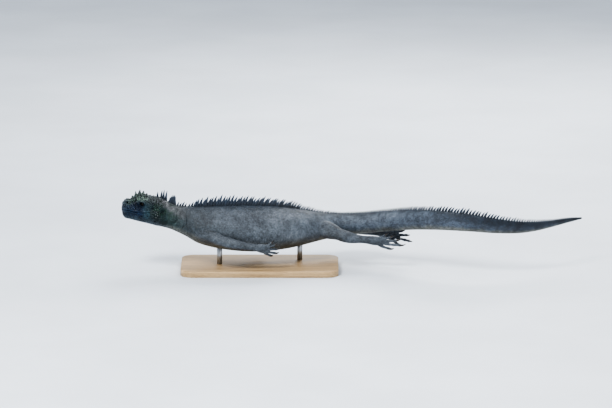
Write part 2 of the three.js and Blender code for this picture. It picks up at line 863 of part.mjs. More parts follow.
function palm(limb, frame) {
  const { length, width, thickness } = limb.palm;
  const steps = 5;
  const points = [];
  for (let i = 0; i <= steps; i += 1) {
    points.push(frame.start.clone().addScaledVector(frame.ahead, GAP + (length * i) / steps));
  }
  const wrist = along(limb.girth, 1);
  const half = (t) => wrist + (width - wrist) * ramp(t, 0, 0.7) - width * 0.18 * ramp(t, 0.75, 1);
  const rings = points.map((point, i) => {
    const t = i / steps;
    const up = wrist * LIMB_FLATNESS + (thickness - wrist) * ramp(t, 0, 0.8);
    return Array.from({ length: LIMB_SIDES }, (_, k) => {
      const turn = (2 * Math.PI * (k + 0.5)) / LIMB_SIDES;
      return point
        .clone()
        .addScaledVector(frame.spread, Math.cos(turn) * half(t))
        .addScaledVector(frame.back, Math.sin(turn) * up);
    });
  });
  return loft(rings, middleOf(rings[0]), middleOf(rings[steps]));
}

// A claw: a hooked horn that starts just past the end of its toe
function claw(limb, frame, digit) {
  const line = toeLine(limb, frame, digit);
  const end = line[line.length - 1];
  const ahead = wayAlong(line, line.length - 1);
  const across = new THREE.Vector3().crossVectors(frame.back, ahead).normalize();
  const over = new THREE.Vector3().crossVectors(ahead, across);
  const hook = radians(CLAW_HOOK);
  const at = (t) => {
    const forward = (Math.sin(hook * t) / hook) * limb.claw + GAP;
    const down = ((1 - Math.cos(hook * t)) / hook) * limb.claw;
    return end.clone().addScaledVector(ahead, forward).addScaledVector(over, -down);
  };
  const rings = [];
  for (let i = 0; i < CLAW_STEPS; i += 1) {
    const t = i / CLAW_STEPS;
    const radius = limb.digitRadius * 0.68 * (1 - t) ** 0.8 + 0.12;
    const rise = over.clone().multiplyScalar(Math.cos(hook * t));
    rise.addScaledVector(ahead, Math.sin(hook * t));
    rings.push(
      Array.from({ length: 6 }, (_, k) => {
        const turn = (2 * Math.PI * k) / 6;
        return at(t)
          .addScaledVector(across, Math.cos(turn) * radius * 0.8)
          .addScaledVector(rise, Math.sin(turn) * radius * 1.15);
      }),
    );
  }
  return loft(rings, middleOf(rings[0]), at(1));
}

// All of one limb: two lengths, a foot and its claws
function makeLimb(limb, side, body) {
  const [upper, lower, foot] = limb.names;
  const label = side < 0 ? "left" : "right";
  const length = limbCurve(limb, side).getLength();
  const share = GAP / length / 2;
  const frame = footFrame(limb, side);
  const toes = limb.digits.map((digit) => toe(limb, frame, digit));
  const parts = {};
  const root = limbStretch(limb, side, 0, limb.parting - share);
  parts[`${upper}_${label}`] = largest(root.subtract(body));
  parts[`${lower}_${label}`] = limbStretch(limb, side, limb.parting + share, 1);
  parts[`${foot}_${label}`] = largest(joined([palm(limb, frame), ...toes]));
  limb.digits.forEach((digit, i) => {
    parts[`${foot}_${label}_claw_${i + 1}`] = claw(limb, frame, digit);
  });
  return parts;
}

// The stand
function makeBase() {
  const shape = new THREE.Shape();
  const x = BASE_LENGTH / 2 - BASE_CORNER;
  const y = BASE_WIDTH / 2 - BASE_CORNER;
  shape.absarc(x, y, BASE_CORNER, 0, Math.PI / 2);
  shape.absarc(-x, y, BASE_CORNER, Math.PI / 2, Math.PI);
  shape.absarc(-x, -y, BASE_CORNER, Math.PI, 1.5 * Math.PI);
  shape.absarc(x, -y, BASE_CORNER, 1.5 * Math.PI, 2 * Math.PI);
  const geometry = new THREE.ExtrudeGeometry(shape, {
    depth: BASE_THICKNESS,
    bevelEnabled: false,
    curveSegments: BASE_CORNER_STEPS,
  });
  return solidOf(geometry);
}

// A rod from the base up to the belly: what lies under the body of a pin that runs into it
function makeRod(station, body) {
  const foot = place(station, 0, 0).setZ(BASE_THICKNESS + GAP);
  const head = place(station, 0, along(SECTIONS, station, 3) + ROD_OVERLAP);
  return bySize(pin(foot, head, ROD_RADIUS, ROD_SIDES).subtract(body)).find(
    (piece) => piece.boundingBox().min[2] < BASE_THICKNESS + 1,
  );
}

// The whole animal, part by part
function makeParts() {
  const parts = makeHead();
  for (const side of [-1, 1]) {
    parts[side < 0 ? "eye_left" : "eye_right"] = ball(eyeCentre(side), Array(3).fill(EYE_RADIUS));
  }
  const neck = bodyLength(NECK_START + GAP, TORSO_START, NECK_STEP, NECK_SIDES);
  parts.neck = largest(joined([neck, ...napeSpines(NECK_START + 2, TORSO_START - 3)]));
  const torso = bodyLength(TORSO_START + GAP, TAIL_STARTS[0], TORSO_STEP, TORSO_SIDES);
  const back = crestBetween(TORSO_START + 4, TAIL_STARTS[0] - 4, CREST_STEP);
  parts.torso = largest(joined([torso, ...back]));
  TAIL_STARTS.forEach((from, i) => {
    const to = TAIL_STARTS[i + 1] ?? TOTAL_LENGTH;
    const length = bodyLength(from + GAP, to, TAIL_STEP, TAIL_SIDES[i]);
    const crest = crestBetween(from + 5, to - 5, TAIL_CREST_STEP);
    parts[`tail_${i + 1}`] = largest(joined([length, ...crest]));
  });
  const body = bodyLength(CUTTER_START, CUTTER_END, CUTTER_STEP, CUTTER_SIDES, CUTTER_ROOM);
  for (const limb of Object.values(LIMBS)) {
    for (const side of [-1, 1]) Object.assign(parts, makeLimb(limb, side, body));
  }
  parts.stand_base = makeBase();
  ROD_STATIONS.forEach((station, i) => {
    parts[`stand_rod_${i + 1}`] = makeRod(station, body);
  });
  return parts;
}

// Finishes
const FINISHES = {
  skin: { color: 0x4a4f4c, roughness: 0.55, metalness: 0 },
  head: { color: 0x3c4a47, roughness: 0.5, metalness: 0 },
  claw: { color: 0x17181a, roughness: 0.35, metalness: 0 },
  eye: { color: 0x241a12, roughness: 0.1, metalness: 0 },
  base: { color: 0x8a6f4f, roughness: 0.5, metalness: 0 },
  rod: { color: 0x9a9c9e, roughness: 0.3, metalness: 1 },
};

function finishOf(name) {
  if (name.includes("claw")) return FINISHES.claw;
  if (name.startsWith("eye")) return FINISHES.eye;
  if (name === "stand_base") return FINISHES.base;
  if (name.startsWith("stand_rod")) return FINISHES.rod;
  return name === "head" || name === "jaw" ? FINISHES.head : FINISHES.skin;
}

const iguana = new THREE.Group();
for (const [name, solid] of Object.entries(makeParts())) {
  const material = new THREE.MeshStandardMaterial(finishOf(name));
  const mesh = new THREE.Mesh(geometryOf(solid), material);
  mesh.name = name;
  iguana.add(mesh);
}

export default iguana;
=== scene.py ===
"""A marine iguana swimming at the surface, life size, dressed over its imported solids."""

import math

import bpy
import numpy as np
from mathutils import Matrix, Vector
from mathutils.bvhtree import BVHTree


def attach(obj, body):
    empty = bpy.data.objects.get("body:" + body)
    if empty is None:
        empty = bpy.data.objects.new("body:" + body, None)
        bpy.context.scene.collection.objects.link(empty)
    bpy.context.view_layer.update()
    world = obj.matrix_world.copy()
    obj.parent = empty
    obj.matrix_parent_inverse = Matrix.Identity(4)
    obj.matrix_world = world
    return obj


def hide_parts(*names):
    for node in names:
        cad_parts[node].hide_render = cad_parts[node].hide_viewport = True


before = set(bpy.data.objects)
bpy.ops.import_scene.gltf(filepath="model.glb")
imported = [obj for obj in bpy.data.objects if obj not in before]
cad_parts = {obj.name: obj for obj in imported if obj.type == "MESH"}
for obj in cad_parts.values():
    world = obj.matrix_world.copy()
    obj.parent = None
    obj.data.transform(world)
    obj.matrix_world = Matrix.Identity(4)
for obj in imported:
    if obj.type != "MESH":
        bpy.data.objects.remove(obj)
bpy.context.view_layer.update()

studio = bpy.context.scene
MM = 0.001
GAP = 0.3
BATCH = 400
UP = np.array([0, 0, 1.0])
TAILWARD = np.array([1.0, 0, 0])
SIDES = (("left", -1), ("right", 1))

# The animal's named sizes, in millimetres, as in the solids
SNOUT_TO_VENT = 420
TAIL_LENGTH = 540
TOTAL_LENGTH = SNOUT_TO_VENT + TAIL_LENGTH
BASE_LENGTH = 300
BASE_WIDTH = 150
BASE_THICKNESS = 12
BASE_CORNER = 24
BASE_EDGE = 2.2
ROD_RADIUS = 5
ROD_EDGE = 0.4
ROD_SUNK = 1.4
ROD_STATIONS = (185, 345)
BELLY_CLEARANCE = 26
BELLY_DEPTH = 71
WATER_LEVEL = BASE_THICKNESS + BELLY_CLEARANCE + BELLY_DEPTH
BASE_STATION = 262

# The sideways wave of the swimming stroke, in degrees and millimetres
WAVE_TURN = 36
WAVE_TIP_TURN = 52
WAVE_LENGTH = 602
WAVE_CROSSING = 418
WAVE_START = 188
WAVE_FULL = 360
WAVE_TIP_START = 740

# Sections: station, half width, top line, belly line, level of the widest part, squareness of
# the back and of the belly
SECTIONS = np.array([
    [0, 17.5, 26, -6, 9, 2.9, 2.7], [14, 19.5, 27.6, -8.5, 9, 2.8, 2.7],
    [26, 22, 34.5, -11.5, 8, 2.8, 2.6], [38, 24.5, 37, -14.5, 6, 2.7, 2.5],
    [52, 27.5, 34.5, -17.5, 2, 2.6, 2.5], [66, 29.5, 32.5, -20.5, 0, 2.5, 2.4],
    [78, 29.5, 29, -23.5, -3, 2.3, 2.3], [90, 27.5, 22, -27, -6, 2.1, 2.2],
    [104, 27, 16.5, -33, -10, 2, 2.2], [122, 31, 14.5, -42, -15, 1.9, 2.2],
    [145, 39, 14.5, -55, -22, 1.8, 2.3], [185, 46, 15.5, -65, -28, 1.8, 2.4],
    [245, 51, 16, -71, -32, 1.75, 2.5], [305, 49, 10, -70, -34, 1.75, 2.5],
    [355, 42, -1, -65, -35, 1.8, 2.4], [395, 33.5, -9, -59, -34, 1.8, 2.3],
    [430, 25, -11, -53, -32, 1.8, 2.2], [470, 18.5, -8, -48, -28, 1.75, 2.1],
    [520, 14.5, 0, -39, -20, 1.7, 2], [585, 11, 10.5, -28, -9, 1.7, 2], [645, 9, 14.5, -22, -4, 1.7, 2],
    [700, 7.5, 11.5, -21.5, -6, 1.7, 2], [740, 6.6, 4.5, -24.5, -11, 1.7, 2],
    [800, 5.4, -6.5, -28.5, -18, 1.8, 2], [870, 4, -14, -28, -21, 1.9, 2],
    [930, 2.6, -18, -26, -22, 2, 2], [960, 1.2, -20.5, -23.5, -22, 2, 2],
])
SNOUT_ROUND = 11.5
SNOUT_SQUARE = 3.1
SNOUT_HEIGHT = 12.5
NECK_START = 86.4
SKIN_DEPTH = 0.55
EAR = (78.5, 28, 8)
# Swellings and hollows of the head: station, distance out, height, reach along, out and up, and
# how far each stands out
RELIEFS = (
    (36, 20.5, 32.6, 17, 5.5, 3.6, 4.8), (37, 24, 24, 8.5, 8, 6, -2.4), (51, 26, 26, 7, 7, 5, -1.8),
    (23.5, 19, 22, 8, 8, 6, -2.0), (10, 11.5, 25, 5, 5, 4.6, 2.6), (17, 0, 28, 6, 7, 5, -1.6),
    (68, 30, -6, 13, 12, 11, 5), (59, 28, 15, 9, 8, 6, -3.0), (*EAR, 3.2, 8, 4.6, -2.2),
    (71, 29, 12, 4, 7, 7, 1.2), (31, 0, 37, 13, 14, 8, 1.8), (30, 24, -2, 20, 9, 5, 0.9),
    (82, 28, 20, 9, 8, 7, 1.2),
)
EYE = (38.4, 18.1, 24.2)
EYE_RADIUS = 5.9
LID_THICKNESS = 1.1
LID_REACH = 5.2
LID_RISE = 6.2
NOSTRIL = (10.8, 12.4, 24.6)
NOSTRIL_RADIUS = 1.9
MOUTH_LINE = np.array([
    [-4, 12], [12, 11], [26, 8], [38, 7], [48, 7.8], [55, 9.5],
])
MOUTH_CORNER = 54
# Folds of the neck: station, depth and how low on the side each starts
NECK_FOLDS = ((92, 0.7, 0.25), (103, 0.8, 0.1), (112, 0.4, 0.45), (121, 0.75, 0.2), (133, 0.5, 0.15))

# The crest
CREST_LENGTH = np.array([
    [122, 6], [130, 9], [138, 14.5], [152, 16.5], [166, 19.5], [200, 20.5], [245, 18.5], [285, 17.5],
    [325, 14.5], [365, 8.5], [405, 6.5], [450, 6], [520, 8], [600, 10], [650, 11.5], [690, 12],
    [740, 10], [800, 7.5], [870, 5], [950, 2],
])
CREST_LEAN = np.array([
    [120, 4], [200, 8], [240, 17], [290, 28], [400, 30], [520, 22], [700, 20], [950, 42],
])
NAPE_SPINES = (
    (68, 11.5, -9), (74.8, 16, -2), (79, 18.7, -2), (83.4, 20, 0), (89.2, 6, -8), (91, 12, -6),
    (92.9, 14.5, -4), (95, 17.5, -4), (97.2, 19, -3), (99, 19.5, -3), (100.6, 17.5, -3), (105.5, 8.5, 8),
    (110, 7.5, 12), (114.5, 10.5, 16), (119.3, 7.5, 18),
)

# Limbs: the line of the bones, the girth along it, the length, width and thickness of the palm,
# each toe's length, turn and place across the palm, the girth of a toe and the length of a claw
FORE = {
    "joints": ((139, 15, -24), (150, 31, -27), (170, 48, -33), (196, 61, -41), (222, 66.5, -47),
               (246, 67, -52)),
    "girth": np.array([(0, 5), (0.08, 12.5), (0.2, 14.5), (0.38, 12.5), (0.52, 10.2), (0.58, 10.6),
                       (0.72, 9.4), (0.9, 7.2), (1, 6.8)]),
    "palm": (17, 10.5, 5),
    "digits": ((13, 34, 0.85), (19, 18, 0.5), (23, 3, 0.05), (23, -11, -0.42), (16, -29, -0.85)),
    "toe": 3.1,
    "claw": 11,
}
HIND = {
    "joints": ((366, 10, -33), (384, 22, -35), (408, 36, -39), (436, 45, -45), (462, 40, -50),
               (490, 34.5, -52)),
    "girth": np.array([(0, 6), (0.07, 14), (0.2, 18), (0.36, 16.5), (0.54, 12), (0.6, 12.2),
                       (0.72, 11.4), (0.9, 8), (1, 7.4)]),
    "palm": (28, 10.5, 5.4),
    "digits": ((14, 30, 0.85), (24, 17, 0.5), (35, 6, 0.1), (43, -4, -0.35), (24, -24, -0.85)),
    "toe": 3.3,
    "claw": 12,
}
LIMB_FLATNESS = 0.94
CLAW_HOOK = math.radians(62)

# Where each random draw starts, so that every run sets the same scales
SEEDS = {
    "rows": 5, "row size": 9, "row tone": 21, "leg points": 31, "leg packing": 33, "leg size": 35,
    "crown": 11, "crown tone": 51, "head points": 3, "head packing": 13, "head size": 14,
    "lip tone": 61, "lid tone": 71, "nostril tone": 72, "spine tone": 81, "crest": 91,
}


# Curves and places

def along(table, station, column=1):
    """The value of a column of a table at each station, on a smooth curve through its rows."""
    x = table[:, 0]
    y = table[:, column]
    low = np.maximum(np.arange(len(x)) - 1, 0)
    high = np.minimum(np.arange(len(x)) + 1, len(x) - 1)
    slope = (y[high] - y[low]) / (x[high] - x[low])
    station = np.asarray(station, float)
    i = np.clip(np.searchsorted(x, station) - 1, 0, len(x) - 2)
    span = x[i + 1] - x[i]
    t = np.clip((station - x[i]) / span, 0, 1)
    ease = t * t * (3 - 2 * t)
    bend = (t - 1) * t
    pull = slope[i] * (t - 1) + slope[i + 1] * t
    return y[i] + (y[i + 1] - y[i]) * ease + span * bend * pull


def section_at(station):
    """Half width, top line, belly line, level of the widest part and the two squarenesses."""
    return [along(SECTIONS, station, column) for column in range(1, 7)]


def ramp(value, low, high):
    """0 below low, 1 above high and a soft step between them."""
    t = np.clip((np.asarray(value, float) - low) / (high - low), 0, 1)
    return t * t * (3 - 2 * t)


def turn_at(station):
    """How far the spine turns sideways at each station."""
    steady = WAVE_TURN * ramp(station, WAVE_START, WAVE_FULL)
    tip = (WAVE_TIP_TURN - WAVE_TURN) * ramp(station, WAVE_TIP_START, TOTAL_LENGTH)
    phase = 2 * np.pi * (WAVE_CROSSING - np.asarray(station, float)) / WAVE_LENGTH
    return np.radians(steady + tip) * np.sin(phase)


def trace_spine():
    """The spine's place at each whole millimetre, seen from above the middle of the base."""
    turns = turn_at(np.arange(TOTAL_LENGTH + 20) + 0.5)
    x = np.concatenate([[0], np.cumsum(np.cos(turns))])
    y = np.concatenate([[0], np.cumsum(np.sin(turns))])
    return np.stack([x - x[BASE_STATION], y - y[BASE_STATION]], 1)


SPINE = trace_spine()


def place(station, out, height):
    """Body coordinates, in millimetres, to points of the model's frame, in millimetres."""
    station, out, height = np.broadcast_arrays(*(np.asarray(v, float) for v in (station, out, height)))
    marks = np.arange(len(SPINE))
    x = np.where(station < 0, SPINE[0, 0] + station, np.interp(station, marks, SPINE[:, 0]))
    y = np.interp(station, marks, SPINE[:, 1])
    turn = np.where(station <= 0, 0, turn_at(station))
    return np.stack([x - np.sin(turn) * out, y + np.cos(turn) * out, height + WATER_LEVEL], -1)


SNOUT = place(0, 0, 0)


def body_place(points):
    """The nearest station, the distance out and the height of points of the frame."""
    station = np.empty(len(points))
    marks = np.arange(len(SPINE))
    for first in range(0, len(points), BATCH):
        some = points[first:first + BATCH, None, :2] - SPINE[None]
        station[first:first + BATCH] = marks[np.argmin((some ** 2).sum(-1), 1)]
    turn = turn_at(station)
    off = points[:, :2] - SPINE[station.astype(int)]
    out = -np.sin(turn) * off[:, 0] + np.cos(turn) * off[:, 1]
    return station, out, points[:, 2] - WATER_LEVEL


def level_of(station, height):
    """How high a point lies between the belly line, 0, and the top line, 1."""
    belly = along(SECTIONS, station, 3)
    return (height - belly) / (along(SECTIONS, station, 2) - belly)


def snout_share(station):
    """How much of the full section is left near the rounded end of the snout."""
    short = np.clip(1 - np.asarray(station, float) / SNOUT_ROUND, 0, 1)
    return (1 - short ** SNOUT_SQUARE) ** (1 / SNOUT_SQUARE)


def signed_power(value, power):
    return np.sign(value) * np.abs(value) ** power


def section_points(station, angle, shrink=1.0):
    """Distance out and height of points of the plain section at a station."""
    half, top, belly, widest, roof, keel = section_at(station)
    c = np.cos(angle)
    s = np.sin(angle)
    square = np.where(s > 0, roof, keel)
    reach = np.where(s > 0, top, belly) - widest
    out = half * signed_power(c, 2 / square)
    height = widest + reach * np.abs(s) ** (2 / square)
    if np.any(shrink < 1):
        height = SNOUT_HEIGHT + (height - SNOUT_HEIGHT) * shrink
    return out * shrink, height


def unit(vectors):
    return vectors / np.maximum(np.linalg.norm(vectors, axis=-1, keepdims=True), 1e-12)


def arc_of(out, height):
    """The length of a section's outline up to each of its points."""
    return np.concatenate([[0], np.cumsum(np.hypot(np.diff(out), np.diff(height)))])


def length_of(line):
    """The length of a line up to each of its points."""
    return np.concatenate([[0], np.cumsum(np.linalg.norm(np.diff(line, axis=0), axis=1))])


def points_at(marks, length, line):
    """Points of a line at marks of its length."""
    return np.stack([np.interp(marks, length, line[:, k]) for k in range(3)], 1)


def ways_along(line):
    """The direction of a line at each of its points."""
    return unit(np.concatenate([line[1:2] - line[:1], line[2:] - line[:-2], line[-1:] - line[-2:-1]]))


def ring_angles(count, shift=0.0):
    """Even angles all the way round."""
    return 2 * np.pi * (np.arange(count) + shift) / count


# Meshes

def shade_smooth(piece):
    piece.data.polygons.foreach_set("use_smooth", np.ones(len(piece.data.polygons), bool))


def mesh_object(name, points, faces):
    """A new mesh object from points in millimetres."""
    mesh = bpy.data.meshes.new(name)
    mesh.from_pydata(np.asarray(points, float) * MM, [], faces)
    piece = bpy.data.objects.new(name, mesh)
    studio.collection.objects.link(piece)
    shade_smooth(piece)
    return piece


def rows_of(items, key, width=3, kind=np.float32):
    """What a list of a mesh holds under a key, one row for each item."""
    flat = np.empty(len(items) * width, kind)
    items.foreach_get(key, flat)
    return flat.reshape(-1, width)


def set_attributes(piece, **values):
    """Stores a number for each point under each name, or a vector where there are three columns."""
    for name, rows in values.items():
        rows = np.asarray(rows, np.float32)
        kind, key = ("FLOAT_VECTOR", "vector") if rows.ndim == 2 else ("FLOAT", "value")
        piece.data.attributes.new(name, kind, "POINT").data.foreach_set(key, rows.ravel())


def loft(rings, start=None, end=None):
    """Points and triangles of a closed skin over rings of points, shut by a fan at each end: at the
    middle of the ring, or at a given point."""
    rings = np.asarray(rings, float)
    start = rings[0].mean(0) if start is None else start
    end = rings[-1].mean(0) if end is None else end
    count, sides = rings.shape[:2]
    points = np.concatenate([[start], rings.reshape(-1, 3), [end]])
    k = np.arange(sides)
    after = (k + 1) % sides
    faces = [np.stack([np.zeros(sides, int), 1 + k, 1 + after], 1)]
    row = 1 + sides * np.arange(count - 1)[:, None]
    a, b = row + k, row + after
    faces.append(np.stack([a, a + sides, b], -1).reshape(-1, 3))
    faces.append(np.stack([b, a + sides, b + sides], -1).reshape(-1, 3))
    last = 1 + sides * (count - 1)
    faces.append(np.stack([np.full(sides, len(points) - 1), last + after, last + k], 1))
    faces = np.concatenate(faces)
    a, b, c = (points[faces[:, i]] - points[0] for i in range(3))
    if np.einsum("ij,ij->i", a, np.cross(b, c)).sum() < 0:
        faces = faces[:, ::-1]
    return points, faces


def tube(line, radii, sides, up, flat=1.0):
    """Points and triangles of a round or flattened rod along a line."""
    line = np.asarray(line, float)
    ways = ways_along(line)
    across = unit(np.cross(np.broadcast_to(up, ways.shape), ways))
    over = np.cross(ways, across)
    turn = ring_angles(sides, 0.5)
    radii = np.asarray(radii, float)[:, None, None]
    rings = (line[:, None] + across[:, None] * np.cos(turn)[None, :, None] * radii
             + over[:, None] * np.sin(turn)[None, :, None] * radii * flat)
    return loft(rings)


def mesh_points(piece):
    return rows_of(piece.data.vertices, "co", 3, float) / MM


def baked(piece):
    """The object with its modifiers made part of its mesh."""
    depsgraph = bpy.context.evaluated_depsgraph_get()
    mesh = bpy.data.meshes.new_from_object(piece.evaluated_get(depsgraph))
    piece.modifiers.clear()
    old = piece.data
    piece.data = mesh
    bpy.data.meshes.remove(old)
    return piece


def cut_or_join(piece, other, operation):
    """A boolean with another object, which is used up."""
    change = piece.modifiers.new("boolean", "BOOLEAN")
    change.operation = operation
    change.solver = "MANIFOLD"
    change.object = other
    baked(piece)
    bpy.data.objects.remove(other)


# The head's own forms

def relief(station, out, height):
    """How far the head's swellings and hollows stand out at each point."""
    total = np.zeros(np.shape(station))
    for s, o, h, along_it, out_of_it, up_it, stand in RELIEFS:
        far = ((station - s) / along_it) ** 2 + ((np.abs(out) - o) / out_of_it) ** 2
        total += stand * np.exp(-far - ((height - h) / up_it) ** 2)
    return total


def lid_outline(reach, rise, steps=18):
    """The almond between the lids, round from the front corner: along the head and up."""
    t = np.linspace(0, 1, steps)[:-1]
    bow = 2 * t * (1 - t) * rise
    upper = np.stack([-reach + 2 * reach * t, bow + (1 - t) ** 2 * 0.7 - t * t * 0.5], 1)
    lower = np.stack([reach - 2 * reach * t, -bow - (1 - t) ** 2 * 0.5 + t * t * 0.7], 1)
    return np.concatenate([upper, lower])


def lid_swell(station, out, height):
    """Moves points near each eye out onto the ball of its lids, with a roll round the opening."""
    centre_station, centre_out, centre_height = EYE
    radius = EYE_RADIUS + LID_THICKNESS
    along_it = station - centre_station
    up_it = height - centre_height
    far = (along_it / 1.2) ** 2 + (up_it / 1.04) ** 2
    ball = centre_out + np.sqrt(np.maximum(radius ** 2 - far, 0))
    size = np.abs(out)
    soft = 0.8
    blend = np.where(far < radius ** 2, soft * np.logaddexp(size / soft, ball / soft), size)
    near = ramp(radius ** 2 - far, 0, 9) * (size > 8)
    rim = np.abs(up_it) - (LID_RISE * 0.5) * np.maximum(1 - (along_it / (LID_REACH + 0.8)) ** 2, 0)
    roll = 0.75 * np.exp(-((rim - 0.7) / 0.75) ** 2) * (np.abs(along_it) < LID_REACH + 1)
    crease = -0.7 * np.exp(-((rim - 2.5) / 0.5) ** 2) * (1 - ramp(np.abs(along_it), 4.5, 7)) * (up_it > 0)
    return np.sign(out) * (size + (blend + roll + crease - size) * near)


def mouth_profile(above):
    """How far the lips stand out by the distance above or below the mouth line."""
    groove = -1.4 * np.exp(-(above / 0.26) ** 2)
    upper = 1.15 * np.exp(-((above - 1.7) / 1.5) ** 2)
    lower = 1.0 * np.exp(-((above + 1.6) / 1.5) ** 2)
    return groove + upper + lower


def folds(station, out, height):
    """Soft folds of the neck, the throat and the flank."""
    level = level_of(station, height)
    side = np.abs(out) / along(SECTIONS, station, 1)
    neck = ramp(station, 84, 96) * (1 - ramp(station, 128, 150)) * ramp(side, 0.3, 0.75)
    bend = 5 * np.sin(level * 4 + 0.7) + 2.5 * np.sin(level * 11 + np.sign(out))
    wave = np.zeros(np.shape(station))
    for fold, depth, low in NECK_FOLDS:
        wave -= depth * np.exp(-((station + bend - fold) / 2.1) ** 2) * ramp(level, low - 0.15, low + 0.1)
        wave += 0.7 * depth * np.exp(-((station + bend - fold - 4) / 2.8) ** 2)
    throat = ramp(station, 50, 70) * (1 - ramp(station, 120, 150)) * (1 - ramp(level, 0.1, 0.3))
    long_wave = np.cos(out * 0.75 + 0.8 * np.sin(station * 0.09))
    flank = ramp(station, 170, 200) * (1 - ramp(station, 350, 380)) * ramp(side, 0.75, 1)
    flank_wave = np.sin(station * 0.21 + 3 * level) * np.sin(level * 17 + station * 0.02)
    return neck * wave + 0.4 * throat * long_wave + 0.45 * flank * flank_wave


# The skin

LOWER_STEPS = 34
UPPER_STEPS = 42


def skin_stations():
    """Stations of the skin's rings and how much of the section each keeps."""
    turns = np.radians(np.linspace(4, 90, 17)[:-1])
    snout = SNOUT_ROUND * (1 - np.cos(turns) ** (2 / SNOUT_SQUARE))
    shrink = np.sin(turns) ** (2 / SNOUT_SQUARE)
    rest = np.concatenate([
        np.arange(SNOUT_ROUND, 62, 0.9),
        np.arange(62, 125, 1.3),
        np.arange(125, 420, 3.2),
        np.arange(420, TOTAL_LENGTH, 5),
        [TOTAL_LENGTH],
    ])
    return np.concatenate([snout, rest]), np.concatenate([shrink, np.ones(len(rest))])


def ring_of_skin(station, shrink):
    """Points of one ring from the keel up the right side to the back, and how far above the
    mouth line each lies. Points crowd towards the mouth line along the jaws."""
    angle = np.linspace(-np.pi / 2, np.pi / 2, 721)
    out, height = section_points(np.full(angle.shape, float(station)), angle, shrink)
    arc = arc_of(out, height)
    at = min(float(station), MOUTH_CORNER)
    mouth_height = along(MOUTH_LINE, at)
    if station > MOUTH_CORNER:
        corner_out, corner_heights = section_points(np.full(angle.shape, float(at)), angle)
        corner_arc = arc_of(corner_out, corner_heights)
        corner_share = np.interp(mouth_height, corner_heights, corner_arc) / corner_arc[-1]
        blend = ramp(station, MOUTH_CORNER, 110)
        mouth_arc = arc[-1] * (corner_share + (0.5 - corner_share) * blend)
    else:
        mouth_arc = np.interp(mouth_height, height, arc)
    crowd = 1 + 0.75 * (1 - ramp(station, MOUTH_CORNER + 2, 80))
    below = mouth_arc * (1 - (1 - np.arange(LOWER_STEPS) / LOWER_STEPS) ** crowd)
    above = mouth_arc + (arc[-1] - mouth_arc) * (np.arange(UPPER_STEPS + 1) / UPPER_STEPS) ** crowd
    marks = np.concatenate([below, above])
    return np.interp(marks, arc, out), np.interp(marks, arc, height), marks - mouth_arc


def body_skin():
    """The trunk, the head and the tail in one, with lips, lids, folds and hollows."""
    stations, shrinks = skin_stations()
    half = np.array([ring_of_skin(s, k) for s, k in zip(stations, shrinks)])
    mirrored = half[:, :, -2:0:-1] * np.array([-1, 1, 1])[:, None]
    out, height, above = np.concatenate([half, mirrored], 2).transpose(1, 0, 2)
    station = np.repeat(stations[:, None], out.shape[1], 1)
    grid = np.stack([station, out, height], -1)
    ahead = np.gradient(grid, axis=0)
    ahead[0] = [1, 0, 0]
    round_it = np.roll(grid, -1, 1) - np.roll(grid, 1, 1)
    normal = unit(np.cross(ahead, round_it))
    middle = len(grid) // 2
    if (normal[middle] * (grid[middle] - grid[middle].mean(0))).sum() < 0:
        normal = -normal
    head = 1 - ramp(station, NECK_START, NECK_START + 18)
    lips = 1 - ramp(station, MOUTH_CORNER - 3, MOUTH_CORNER + 4)
    rise = relief(station, out, height) * head + mouth_profile(above) * lips
    rise += folds(station, out, height)
    rise -= SKIN_DEPTH * np.minimum(1, along(SECTIONS, station, 1) / 6)
    grid = grid + normal * rise[..., None]
    grid[..., 1] = np.where(station < 60, lid_swell(*np.moveaxis(grid, -1, 0)), grid[..., 1])
    points = place(*np.moveaxis(grid, -1, 0))
    return mesh_object("skin", *loft(points, place(SKIN_DEPTH * 0.3, 0, SNOUT_HEIGHT)))


def limb_line(limb, side, count=64):
    """Evenly spaced points and directions along the bones of a limb: a smooth curve through its
    joints, carried straight on past each end."""
    joints = np.array([place(s, side * o, h) for s, o, h in limb["joints"]])
    joints = np.concatenate([2 * joints[:1] - joints[1:2], joints, 2 * joints[-1:] - joints[-2:-1]])
    gaps = np.linalg.norm(np.diff(joints, axis=0), axis=1) ** 0.5
    t = np.linspace(0, 1, 60, endpoint=False)[:, None]
    fine = []
    for i in range(1, len(joints) - 2):
        before, start, end, after = joints[i - 1:i + 3]
        gap0, gap1, gap2 = gaps[i - 1:i + 2]
        way0 = (start - before) / gap0 - (end - before) / (gap0 + gap1) + (end - start) / gap1
        way1 = (end - start) / gap1 - (after - start) / (gap1 + gap2) + (after - end) / gap2
        fine.append((2 * t ** 3 - 3 * t ** 2 + 1) * start + (t ** 3 - 2 * t ** 2 + t) * way0 * gap1
                    + (3 * t ** 2 - 2 * t ** 3) * end + (t ** 3 - t ** 2) * way1 * gap1)
    fine = np.concatenate(fine + [joints[-2:-1]])
    length = length_of(fine)
    marks = np.linspace(0, length[-1], count)
    line = points_at(marks, length, fine)
    return line, ways_along(line), marks / length[-1]


def turned(vector, axis, angle):
    """A vector turned round an axis."""
    return (vector * math.cos(angle) + np.cross(axis, vector) * math.sin(angle)
            + axis * np.dot(axis, vector) * (1 - math.cos(angle)))


def foot_frame(limb, side):
    """Where a foot starts, and its directions ahead, up out of its back, and across its toes."""
    line, ways, _ = limb_line(limb, side)
    ahead = ways[-1]
    outward = side * unit(np.array([-ahead[1], ahead[0], 0]))
    back = unit(turned(outward, ahead, math.radians(-24) * side))
    spread = side * unit(np.cross(ahead, back))
    return line[-1], ahead, back, spread


